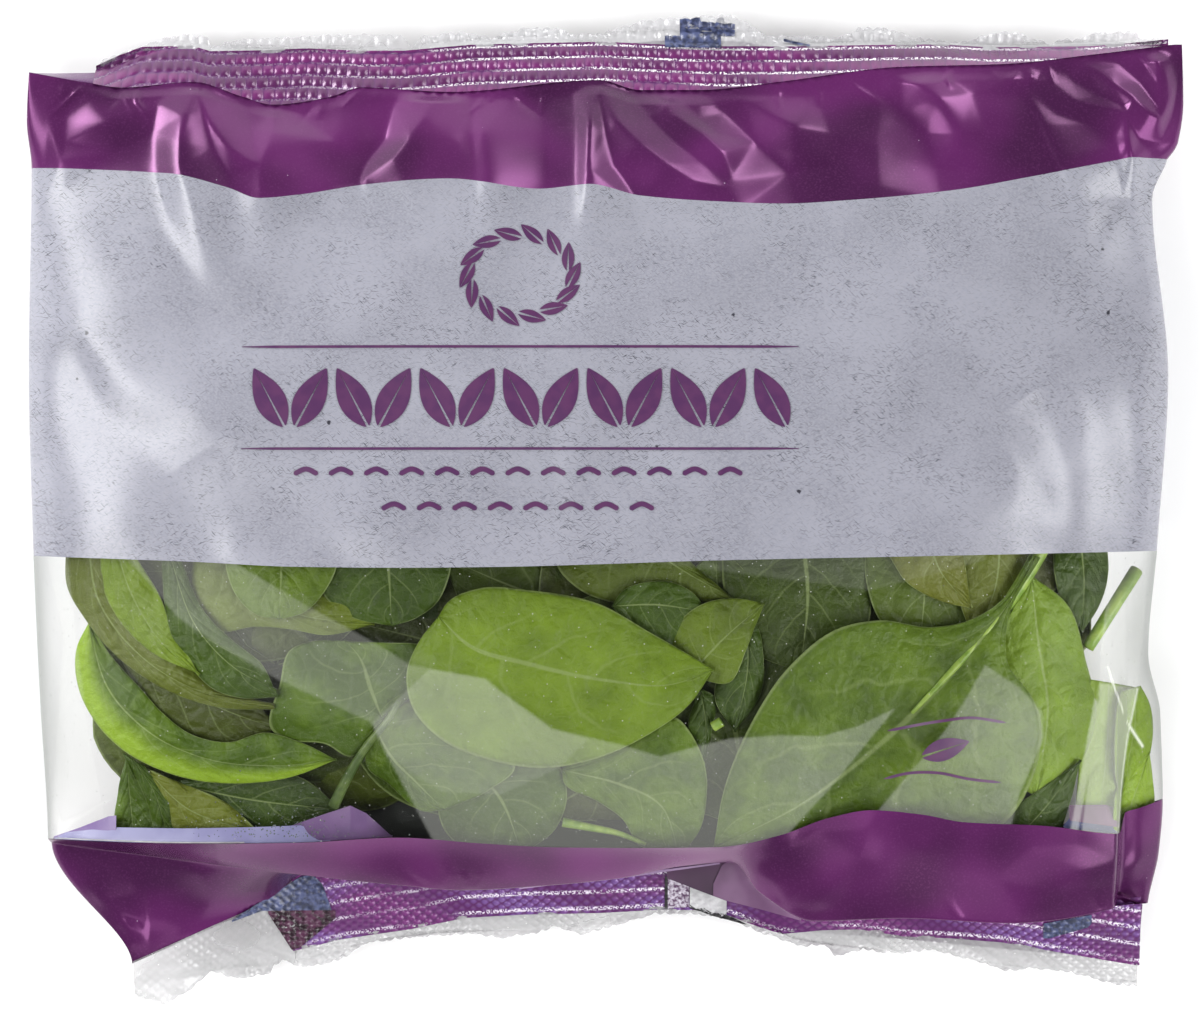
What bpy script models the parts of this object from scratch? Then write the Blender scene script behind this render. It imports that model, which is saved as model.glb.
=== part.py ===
"""A sealed flow-wrap bag of baby spinach, lying on its back with the printed face up.

The bag is one closed solid: a film tube pinched flat by a crimped seal at each end and blown
up by the leaves between them. +X runs to the right along the seals, +Y runs to the top seal
and +Z points out of the printed face. The origin is on the floor, under the middle of the bag.

The surface is a function of two parameters. u goes across the bag, from 0 at the left fold of
the tube to 1 at the right fold. v goes along it and counts the lines that cross the bag:
0 bottom cut edge, 1 inner edge of the bottom seal, 2 crease over the bottom seal, 3 lower edge
of the window, 4 upper edge of the window, 5 lower edge of the top band, 6 inner edge of the
top seal, 7 top cut edge.
"""

import math

import bmesh
import bpy
import numpy as np

MM = 0.001

# Driving dimensions, in millimetres
HALF_WIDTH = 126.5          # half of the tube's width, measured at the top band
HALF_LENGTH = 107.8         # half of the length over both cut edges
CROWN_HEIGHT = 50.5         # highest point of the filled bag above the floor
EDGE_HEIGHT = 21.0          # height of the tube's side folds at the window
SEAL_THICKNESS = 1.2        # two films and the air left in the crimp
FLAT_SHARE = 0.72           # share of the half width that rests on the floor
PROFILE_ROUND = 3.0         # how flat the crown is across the bag
PROFILE_SHOULDER = 0.6      # how steeply the sides fall to the folds

# Crimp of both seals
CRIMP_ROWS = 4
CRIMP_DEPTH = 0.35
SEAL_WAVE = 1.1             # how far a seal waves up and down along the bag's width
SEAL_WAVE_LENGTH = 83.0

# Grid of the surface: the rows of each band between two lines, and the columns across
BAND_ROWS = (8, 3, 5, 9, 11, 7, 8)
COLUMNS = 50
COLUMN_CROWDING = 0.45      # 0 spaces the columns evenly, 1 crowds them at the side folds

# The lines across the bag as (x, y) points, with x from the middle of the bag to the right
BOTTOM_CUT = ((-103, -HALF_LENGTH), (-94, -106), (-85, -100), (-72, -99), (-53, -94.5),
              (-35, -92), (-14, -91.5), (4, -88), (17, -86.5), (31, -88.5), (43, -93.5), (65, -96.5),
              (87, -99), (118, -103))
BOTTOM_SEAL = ((-104, -98.7), (-88, -91.5), (-74, -85), (-65, -78.6), (-44, -78.8), (-22, -79.5),
               (0, -77.9), (21, -74.7), (28, -74.2), (34, -80.6), (46, -86.9), (65, -86.4),
               (90, -87.5), (119, -85))
BOTTOM_CREASE = ((-121, -71.8), (-101, -74.2), (-65, -78.4), (-44, -80.6), (-31, -81.6),
                 (-13, -80.6), (3.5, -79), (17, -76.4), (28, -75.5), (34, -82.1), (46, -88.4),
                 (65, -87.8), (90, -89), (99, -88.4), (114, -85.6))
WINDOW_LOWER = ((-121, -71.4), (-99, -71.8), (-66, -71.4), (-44, -70.3), (-27, -71.4),
                (-9.5, -72.3), (10, -72.5), (25, -72.3), (38.5, -69.6), (49, -65.9), (58, -64.2),
                (69, -65.3), (78, -67), (95, -67.9), (113, -69.9))
WINDOW_UPPER = ((-125, -8.7), (-90, -9.8), (-66, -10.9), (-44, -11.1), (-22, -10.9), (0, -10.3),
                (21, -9.6), (65, -8.7), (121, -7.6))
BAND_LOWER = ((-125, 76.2), (-110, 75.5), (-94.5, 74.4), (-81.5, 71.2), (-74.5, 68.8),
              (-66, 69.6), (-51, 72), (-33.5, 73.1), (-14, 70.9), (-3, 71.8), (8, 69.4),
              (21, 68.3), (38.5, 67.7), (54, 68.5), (75.5, 70.7), (93, 73.8), (115, 78.2))
TOP_SEAL = ((-126, 97.4), (-114, 95.2), (-105.5, 94), (-90, 95.2), (-79, 91.9), (-72.5, 90.2),
            (-60, 91.9), (-53, 94), (-33.5, 93), (-1, 95.6), (8, 93.4), (21, 93.4), (38.5, 95.2),
            (65, 98.5), (87, 99.1), (108, 101.3), (125.5, 103.5))
TOP_CUT = ((-121, 97.8), (-110, 98.7), (-103, 101.3), (-96, 103.5), (-88, 104.3), (-66, 103.5),
           (-44, 103.9), (-22.5, 105.4), (-1, 106.5), (14.5, HALF_LENGTH), (29, 107.4), (43, 104.3),
           (65, 104.8), (87, 104.3), (108, 104.8), (124, 103.5))
LINES = (BOTTOM_CUT, BOTTOM_SEAL, BOTTOM_CREASE, WINDOW_LOWER, WINDOW_UPPER, BAND_LOWER,
         TOP_SEAL, TOP_CUT)

# Side folds of the tube as (v, x)
LEFT_FOLD = ((0, -103.1), (1, -103.8), (2, -121.3), (3, -121.7), (3.5, -123.4), (4, -124.8),
             (4.5, -125.9), (5, -125.4), (5.5, -HALF_WIDTH), (6, -126.1), (7, -123))
RIGHT_FOLD = ((0, 117.8), (1, 119.3), (2, 122.1), (3, 122.1), (3.35, 121.5), (3.6, 118.6),
              (4, 121), (4.45, 123.7), (4.9, 119.5), (5, 121.5), (5.5, HALF_WIDTH), (6, 126.3),
              (7, 125))

# Heights above the floor as (v, z): the crown, the side folds and how far the back lifts
CROWN = ((0, 6), (1, 12), (2, 25), (3, 42), (3.5, CROWN_HEIGHT - 0.5), (4, CROWN_HEIGHT),
         (4.5, 47), (5, 38), (5.5, 28), (6, 17), (7, 9))
EDGE = ((0, 6), (1, 12), (2, 15), (3, EDGE_HEIGHT - 1), (4, EDGE_HEIGHT), (5, 19), (6, 17), (7, 9))
BACK_LIFT = ((0, 4.8), (1, 10.8), (2, 7), (2.6, 0), (5, 0), (5.3, 1.5), (5.6, 6), (6, 15.8),
             (7, 7.8))

# Folds of the film: the line that each crest follows, its rise (a valley's is negative), and
# its half width at the start and at the end. One with a sharp crest is a crease.
FOLDS = (
    ("left pleat", ((-90, 94.5), (-93, 88), (-93, 76), (-88, 60), (-75, 40)), 4.5, 5, 13, 0.6),
    ("left pleat branch", ((-90, 94.5), (-84, 82), (-75, 77)), 3.0, 3, 7, 0.7),
    ("left ridge", ((-72, 90), (-75, 77), (-75, 69), (-75, 40)), 3.5, 4, 9, 0.8),
    ("left hollow", ((-68, 88), (-66, 74), (-66, 60)), -3.5, 6, 10, 0.2),
    ("left diagonal", ((-96, 92), (-109, 87), (-119, 79)), 3.0, 4, 7, 0.7),
    ("centre pleat", ((-1, 95), (-4, 84), (-4.5, 72), (-6, 60)), 3.5, 4, 8, 0.2),
    ("centre crease", ((0, 95), (3, 87), (8, 81), (19, 74), (27, 72)), 4.5, 4, 9, 0.9),
    ("centre hollow", ((12, 92), (16, 86), (25, 78)), -3.0, 4, 7, 0.2),
    ("centre loop", ((12, 91), (17, 88), (24, 83), (28, 75)), 3.5, 3, 6, 0.7),
    ("right hollow", ((25, 94), (33, 80), (41, 68)), -4.0, 5, 9, 0.2),
    ("right facet", ((27, 89), (41, 86), (41, 75)), 4.0, 6, 6, 0.8),
    ("right pleat", ((62, 96), (67, 88), (76, 84)), 3.5, 5, 9, 0.6),
    ("far right crumple", ((104, 99), (112, 92), (120, 92)), 2.5, 4, 7, 0.5),
    ("panel diagonal", ((30, 56), (65, 38), (88, 16), (100, 0)), 3.5, 6, 13, 0.7),
    ("panel left fold", ((-119, 47), (-105, 21), (-84, -6)), 3.0, 6, 12, 0.4),
    ("window left fold", ((-92, -10), (-60, -24), (-18, -40)), 2.0, 6, 10, 0.5),
    ("window right fold", ((60, -12), (84, -38), (92, -62)), 2.0, 7, 12, 0.4),
    ("bottom hollow", ((26, -72), (32, -80)), -3.0, 6, 8, 0.3),
    ("bottom soft fold", ((46, -60), (36, -72), (33, -82)), 2.5, 7, 9, 0.3),
    ("bottom right fold", ((88, -70), (97, -80), (101, -88)), 2.0, 6, 8, 0.5),
)
FOLD_START = 0.18           # share of a fold's length over which it rises from nothing

# Flap at the lower right, where the front film turns under and the back film shows beside it
FLAP_X = 113.6
FLAP_DROP = 9.0
FLAP_TURN = 2.0             # width over which the film turns down
FLAP_RANGE = (1.4, 2.0, 3.1, 3.6)     # v where the step starts, is full, fades and ends

# Gentle lumps that the leaves push into the film
LUMP_RISE = 0.9
LUMP_SPACING = (31.0, 24.0)

# sRGB colour and roughness of each zone of the film
ZONES = (("film_purple", (0.42, 0.20, 0.44), 0.3), ("film_paper", (0.79, 0.79, 0.83), 0.45),
         ("film_over_leaves", (0.33, 0.47, 0.20), 0.3))


def clear_scene():
    """Remove whatever the file opens with."""
    for obj in list(bpy.data.objects):
        bpy.data.objects.remove(obj, do_unlink=True)


def smooth_step(low, high, value):
    """0 below low, 1 above high, and an even S curve between them."""
    t = np.clip((value - low) / (high - low), 0.0, 1.0)
    return t * t * (3.0 - 2.0 * t)


def read_curve(points, at):
    """Value at each position on a smooth curve through (position, value) points.

    The slope at a point is the harmonic mean of the slopes on its two sides, and flat where
    they differ in sign, so the curve never swings past its points.
    """
    place, value = np.array(points, dtype=float).T
    step = np.diff(value) / np.diff(place)
    product = step[1:] * step[:-1]
    total = np.where(product > 0, step[1:] + step[:-1], 1.0)
    slope = np.concatenate(([step[0]], np.where(product > 0, 2.0 * product / total, 0.0),
                            [step[-1]]))
    i = np.clip(np.searchsorted(place, at) - 1, 0, len(place) - 2)
    span = place[i + 1] - place[i]
    t = np.clip((at - place[i]) / span, 0.0, 1.0)
    rise = t * t * (3.0 - 2.0 * t)
    return (value[i] + (value[i + 1] - value[i]) * rise
            + span * slope[i] * t * (1.0 - t) ** 2 - span * slope[i + 1] * t * t * (1.0 - t))


def line_distance(path, x, y):
    """Distance of each point from a path, and how far along it lies, from 0 to 1."""
    path = np.array(path, dtype=float)
    lengths = np.hypot(*np.diff(path, axis=0).T)
    best = np.full(x.shape, np.inf)
    along = np.zeros(x.shape)
    done = 0.0
    for start, end, length in zip(path[:-1], path[1:], lengths):
        run = (end - start) / length
        t = np.clip((x - start[0]) * run[0] + (y - start[1]) * run[1], 0.0, length)
        apart = np.hypot(x - start[0] - t * run[0], y - start[1] - t * run[1])
        nearer = apart < best
        best = np.where(nearer, apart, best)
        along = np.where(nearer, (done + t) / lengths.sum(), along)
        done += length
    return best, along


def fold_rise(x, y):
    """Height that all the folds add at each point.

    Across a fold the height falls from the crest to its half width, in a crease as (1 - s)^2
    and in a soft fold as (1 - s^2)^2. Along it, it grows over the first stretch and fades out.
    """
    total = np.zeros(x.shape)
    for _, path, rise, start_width, end_width, sharpness in FOLDS:
        apart, along = line_distance(path, x, y)
        s = np.clip(apart / (start_width + (end_width - start_width) * along), 0.0, 1.0)
        across = sharpness * (1.0 - s) ** 2 + (1.0 - sharpness) * (1.0 - s * s) ** 2
        total += rise * across * smooth_step(0.0, FOLD_START, along) * (1.0 - along ** 2)
    return total


def plan(u, v):
    """Place of each surface point seen from above: x between the folds, y between the lines."""
    x = read_curve(LEFT_FOLD, v) * (1.0 - u) + read_curve(RIGHT_FOLD, v) * u
    below = np.clip(np.floor(v).astype(int), 0, len(LINES) - 2)
    on_lines = np.array([read_curve(line, x) for line in LINES])
    column = np.arange(u.size)
    lower = on_lines[below, column]
    upper = on_lines[below + 1, column]
    return x, lower + (upper - lower) * (v - below)


def seal_relief(x, v):
    """Crimp rows and slow wave of the two seals, nothing on the body between them."""
    in_bottom = 1.0 - smooth_step(0.92, 1.05, v)
    in_top = smooth_step(5.95, 6.08, v)
    crimp = CRIMP_DEPTH * np.cos(2.0 * math.pi * CRIMP_ROWS * v)
    wave = SEAL_WAVE * np.sin(2.0 * math.pi * x / SEAL_WAVE_LENGTH + 0.8 * np.floor(v))
    far = np.maximum(smooth_step(0.9, 0.0, v), smooth_step(6.1, 7.0, v))
    return (in_bottom + in_top) * crimp + wave * far


def flap_drop(x, v):
    """How far both films lie lower beyond the turned edge at the lower right."""
    start, full, fading, end = FLAP_RANGE
    reach = smooth_step(start, full, v) * (1.0 - smooth_step(fading, end, v))
    return FLAP_DROP * reach * smooth_step(FLAP_X - FLAP_TURN, FLAP_X, x)


def front_surface(u, v):
    """Printed face: the crown over each line falls to the side folds as (1 - |s|^p)^q."""
    x, y = plan(u, v)
    s = np.abs(2.0 * u - 1.0)
    edge = read_curve(EDGE, v)
    bulge = (1.0 - s ** PROFILE_ROUND) ** PROFILE_SHOULDER
    z = edge + (read_curve(CROWN, v) - edge) * bulge + seal_relief(x, v)
    body = smooth_step(1.7, 2.2, v) * (1.0 - smooth_step(5.85, 6.0, v))
    inside = 1.0 - smooth_step(0.88, 0.985, s)
    across, along = math.pi / LUMP_SPACING[0], math.pi / LUMP_SPACING[1]
    lumps = LUMP_RISE * np.sin(across * x) * np.cos(along * y)
    return x, y, z + body * inside * (fold_rise(x, y) + lumps) - flap_drop(x, v)


def back_surface(u, v):
    """Back of the bag: flat on the floor in the middle and lifted to the seals and side folds.

    Under the crease over the bottom seal the back runs straight from the seal to the window
    line, so that the crease overhangs it.
    """
    x, y = plan(u, v)
    straight = read_curve(BOTTOM_SEAL, x) + (read_curve(WINDOW_LOWER, x)
                                             - read_curve(BOTTOM_SEAL, x)) * (v - 1.0) / 2.0
    s = np.abs(2.0 * u - 1.0)
    rim = smooth_step(0.9, 1.0, s)
    under = (v > 1.0) & (v < 3.0)
    y = np.where(under, straight * (1.0 - rim) + y * rim, y)
    lift = read_curve(BACK_LIFT, v)
    fold = read_curve(EDGE, v) - SEAL_THICKNESS
    z = lift + (fold - lift) * smooth_step(FLAT_SHARE, 1.0, s) + seal_relief(x, v)
    return x, y, z - flap_drop(x, v)


def row_values():
    """v of each row of the grid, from the number of rows in each band."""
    counts = np.concatenate(([0], np.cumsum(BAND_ROWS)))
    return np.interp(np.arange(counts[-1] + 1), counts, np.arange(len(counts)))


def column_values():
    """u of each column of the grid, closer together near the side folds."""
    even = np.linspace(0.0, 1.0, COLUMNS + 1)
    crowded = 0.5 - 0.5 * np.cos(math.pi * even)
    return even + (crowded - even) * COLUMN_CROWDING


def build_bag():
    """Extrude a grid into a closed slab and lay its two faces on the front and the back."""
    rows, columns = row_values(), column_values()
    shape = bmesh.new()
    bmesh.ops.create_grid(shape, x_segments=len(columns) - 1, y_segments=len(rows) - 1, size=0.5)
    raised = bmesh.ops.extrude_face_region(shape, geom=shape.faces[:])["geom"]
    top = {item for item in raised if isinstance(item, bmesh.types.BMVert)}
    place = np.array([vert.co for vert in shape.verts])
    on_top = np.array([vert in top for vert in shape.verts])
    u = columns[np.rint((place[:, 0] + 0.5) * (len(columns) - 1)).astype(int)]
    v = rows[np.rint((place[:, 1] + 0.5) * (len(rows) - 1)).astype(int)]
    spots = np.where(on_top, front_surface(u, v), back_surface(u, v)).T * MM
    middle = (spots.max(axis=0) + spots.min(axis=0)) / 2.0
    spots -= (middle[0], middle[1], spots[:, 2].min())
    for vert, spot in zip(shape.verts, spots):
        vert.co = spot
    bmesh.ops.recalc_face_normals(shape, faces=shape.faces)
    bmesh.ops.triangulate(shape, faces=shape.faces, quad_method="SHORT_EDGE")
    paint_zones(shape)
    return shape


def paint_zones(shape):
    """Give each face the material of its zone: leaves between the window lines, else print."""
    for face in shape.faces:
        centre = face.calc_center_median() / MM
        x, y = np.array([centre.x]), centre.y
        if read_curve(WINDOW_LOWER, x)[0] < y < read_curve(WINDOW_UPPER, x)[0]:
            face.material_index = 2
        elif read_curve(WINDOW_UPPER, x)[0] <= y < read_curve(BAND_LOWER, x)[0]:
            face.material_index = 1


def linear(srgb):
    """Linear colour of an sRGB one, with full alpha."""
    return tuple(c / 12.92 if c <= 0.04045 else ((c + 0.055) / 1.055) ** 2.4 for c in srgb) + (1.0,)


def zone_material(name, colour, roughness):
    """Film of one zone."""
    material = bpy.data.materials.new(name)
    material.use_nodes = True
    shader = material.node_tree.nodes["Principled BSDF"]
    shader.inputs["Base Color"].default_value = linear(colour)
    shader.inputs["Roughness"].default_value = roughness
    shader.inputs["Metallic"].default_value = 0.0
    return material


def main():
    clear_scene()
    shape = build_bag()
    mesh = bpy.data.meshes.new("spinach_bag")
    shape.to_mesh(mesh)
    shape.free()
    for zone in ZONES:
        mesh.materials.append(zone_material(*zone))
    mesh.shade_smooth()
    mesh.set_sharp_from_angle(angle=math.radians(50.0))
    bag = bpy.data.objects.new("spinach_bag", mesh)
    bpy.context.scene.collection.objects.link(bag)


main()
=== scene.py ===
import functools
import math
import bpy
import numpy as np
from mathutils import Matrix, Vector
from mathutils.geometry import delaunay_2d_cdt


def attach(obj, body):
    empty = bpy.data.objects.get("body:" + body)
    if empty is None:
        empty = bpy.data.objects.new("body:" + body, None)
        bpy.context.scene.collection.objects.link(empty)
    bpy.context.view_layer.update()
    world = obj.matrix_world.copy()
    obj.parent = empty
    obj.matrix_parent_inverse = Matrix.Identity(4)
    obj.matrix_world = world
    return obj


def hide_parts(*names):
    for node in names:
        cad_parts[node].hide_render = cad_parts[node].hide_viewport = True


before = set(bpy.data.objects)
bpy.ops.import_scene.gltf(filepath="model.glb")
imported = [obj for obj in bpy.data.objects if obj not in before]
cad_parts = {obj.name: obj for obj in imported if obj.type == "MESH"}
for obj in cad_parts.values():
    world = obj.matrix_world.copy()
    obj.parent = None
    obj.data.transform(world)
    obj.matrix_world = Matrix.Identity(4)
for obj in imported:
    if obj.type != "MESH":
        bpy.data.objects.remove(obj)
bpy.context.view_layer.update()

# A sealed flow-wrap bag of baby spinach on its back: printed and clear film round loose leaves.
# Sizes are in millimetres, +X right along the seals, +Y to the top seal, +Z out of the printed face.
mm = 0.001
photoScale = 0.2183              # mm on the bag for each pixel of the 1200 px wide photo
photoMiddle = (603.5, 516.0)     # the photo's pixel over the middle of the bag
photoReach = 1455.0              # mm from the camera to the level where photoScale holds
photoLevel = 25.0                # that level, mm above the floor
# mm above the floor at which each group of photo outlines lies
level = {"creases": 36.0, "paintedReflections": 44.0, "sealEdges": 10.0, "patches": 12.0, "notch": 14.0,
         "leaves": 42.0, "strips": 38.0}
rng = np.random.default_rng(41)


def fromPhoto(points, height=photoLevel):
    # pixels of the photo to mm on the bag, x right and y up: what lies higher looks larger
    p = np.asarray(points, float)
    scale = photoScale * (1.0 + (photoLevel - height) / photoReach)
    return np.stack([(p[..., 0] - photoMiddle[0]) * scale,
                     (photoMiddle[1] - p[..., 1]) * scale], -1)


def smoothStep(low, high, value):
    # 0 below low, 1 above high, an even S curve between
    t = np.clip((value - low) / (high - low), 0.0, 1.0)
    return t * t * (3.0 - 2.0 * t)


def readCurve(points, at):
    # cubic through (position, value) points with harmonic mean slopes, so it never overshoots
    place, value = np.array(points, float).T
    step = np.diff(value) / np.diff(place)
    product = step[1:] * step[:-1]
    total = np.where(product > 0, step[1:] + step[:-1], 1.0)
    slope = np.concatenate(([step[0]], np.where(product > 0, 2.0 * product / total, 0.0),
                            [step[-1]]))
    i = np.clip(np.searchsorted(place, at) - 1, 0, len(place) - 2)
    span = place[i + 1] - place[i]
    t = np.clip((at - place[i]) / span, 0.0, 1.0)
    return (value[i] + (value[i + 1] - value[i]) * t * t * (3.0 - 2.0 * t)
            + span * slope[i] * t * (1.0 - t) ** 2 - span * slope[i + 1] * t * t * (1.0 - t))


def smoothPath(points, count):
    # count points on a cubic through the given ones, spaced by the length between them
    p = np.array(points, float)
    reach = np.concatenate(([0.0], np.cumsum(np.linalg.norm(np.diff(p, axis=0), axis=1))))
    slope = np.gradient(p, reach, axis=0)
    at = np.linspace(0.0, reach[-1], count)
    i = np.clip(np.searchsorted(reach, at) - 1, 0, len(p) - 2)
    span = (reach[i + 1] - reach[i])[:, None]
    t = ((at - reach[i]) / span[:, 0])[:, None]
    return (p[i] + (p[i + 1] - p[i]) * t * t * (3.0 - 2.0 * t)
            + span * slope[i] * t * (1.0 - t) ** 2 - span * slope[i + 1] * t * t * (1.0 - t))


# The bag's surface
# u runs across from the left fold to the right one. v runs along and counts the lines that
# cross the bag: 0 bottom cut, 1 bottom seal, 2 crease over it, 3 and 4 the window's lower and
# upper edge, 5 lower edge of the top band, 6 top seal, 7 top cut.
bag = {
    "flatShare": 0.72, "profileRound": 3.0, "profileShoulder": 0.6, "sealWave": 1.1,
    "sealWaveLength": 83.0, "lumpRise": 0.9, "lumpSpacing": (31.0, 24.0),
    "flapX": 113.6, "flapDrop": 9.0, "flapTurn": 2.0, "flapRange": (1.4, 2.0, 3.1, 3.6),
    "filmLift": 0.35,            # keeps the film of the flat back off the floor
}
lines = [
    # bottom cut edge
    ((-103, -107.8), (-94, -106), (-85, -100), (-72, -99), (-53, -94.5), (-35, -92), (-14, -91.5),
     (4, -88), (17, -86.5), (31, -88.5), (43, -93.5), (65, -96.5), (87, -99), (118, -103)),
    # inner edge of the bottom seal
    ((-104, -98.7), (-88, -91.5), (-74, -85), (-65, -78.6), (-44, -78.8), (-22, -79.5),
     (0, -77.9), (21, -74.7), (28, -74.2), (34, -80.6), (46, -86.9), (65, -86.4), (90, -87.5),
     (119, -85)),
    # crease over the bottom seal
    ((-121, -71.8), (-101, -74.2), (-65, -78.4), (-44, -80.6), (-31, -81.6), (-13, -80.6),
     (3.5, -79), (17, -76.4), (28, -75.5), (34, -82.1), (46, -88.4), (65, -87.8), (90, -89),
     (99, -88.4), (114, -85.6)),
    # lower edge of the window
    ((-121, -70.7), (-99, -71.1), (-66, -70.7), (-44, -69.6), (-27, -70.7), (-9.5, -71.6),
     (10, -71.8), (25, -71.6), (38.5, -68.9), (49, -65.2), (58, -63.6), (69, -64.6), (78, -66.3),
     (95, -67.2), (113.2, -69.2), (114.3, -65), (118, -64), (123, -62.4)),
    # upper edge of the window
    ((-125, -8.7), (-90, -9.8), (-66, -10.9), (-44, -11.1), (-22, -10.9), (0, -10.3), (21, -9.6),
     (65, -8.7), (121, -7.6)),
    # lower edge of the top band
    ((-125, 76.2), (-110, 75.5), (-94.5, 74.4), (-81.5, 71.2), (-74.5, 68.8), (-66, 69.6),
     (-51, 72), (-33.5, 73.1), (-14, 70.9), (-3, 71.8), (8, 69.4), (21, 68.3), (38.5, 67.7),
     (54, 68.5), (75.5, 70.7), (93, 73.8), (115, 78.2)),
    # inner edge of the top seal
    ((-126, 97.4), (-114, 95.2), (-105.5, 94), (-90, 95.2), (-79, 91.9), (-72.5, 90.2),
     (-60, 91.9), (-53, 94), (-33.5, 93), (-1, 95.6), (8, 93.4), (21, 93.4), (38.5, 95.2),
     (65, 98.5), (87, 99.1), (108, 101.3), (125.5, 103.5)),
    # top cut edge
    ((-121, 97.8), (-110, 98.7), (-103, 101.3), (-96, 103.5), (-88, 104.3), (-66, 103.5),
     (-44, 103.9), (-22.5, 105.4), (-1, 106.5), (14.5, 107.8), (29, 107.4), (43, 104.3),
     (65, 104.8), (87, 104.3), (108, 104.8), (124, 103.5)),
]
leftFold = ((0, -103.1), (1, -103.8), (2, -121.3), (3, -121.7), (3.5, -123.4), (4, -124.8),
            (4.5, -125.9), (5, -125.4), (5.5, -126.5), (6, -126.1), (7, -123))
rightFold = ((0, 117.8), (1, 118.8), (2, 120.4), (2.5, 122.6), (3, 123.3), (3.35, 122.3), (3.6, 119.3),
             (4, 121.2), (4.45, 123.7), (4.9, 120.3), (5, 123.6), (5.15, 126), (5.5, 127.2),
             (6, 127), (7, 125.5))
crown = ((0, 6), (1, 12), (2, 28), (3, 39.5), (3.5, 49), (4, 50.5), (4.5, 47), (5, 37), (5.5, 28),
         (6, 18.5), (7, 9))
edgeHeight = ((0, 6), (1, 12), (2, 15), (3, 20), (4, 21), (5, 19), (6, 17), (7, 9))
backLift = ((0, 4.8), (1, 10.8), (2, 7), (2.6, 0), (5, 0), (5.3, 1.5), (5.6, 6), (6, 15.8),
            (7, 7.8))

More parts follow.
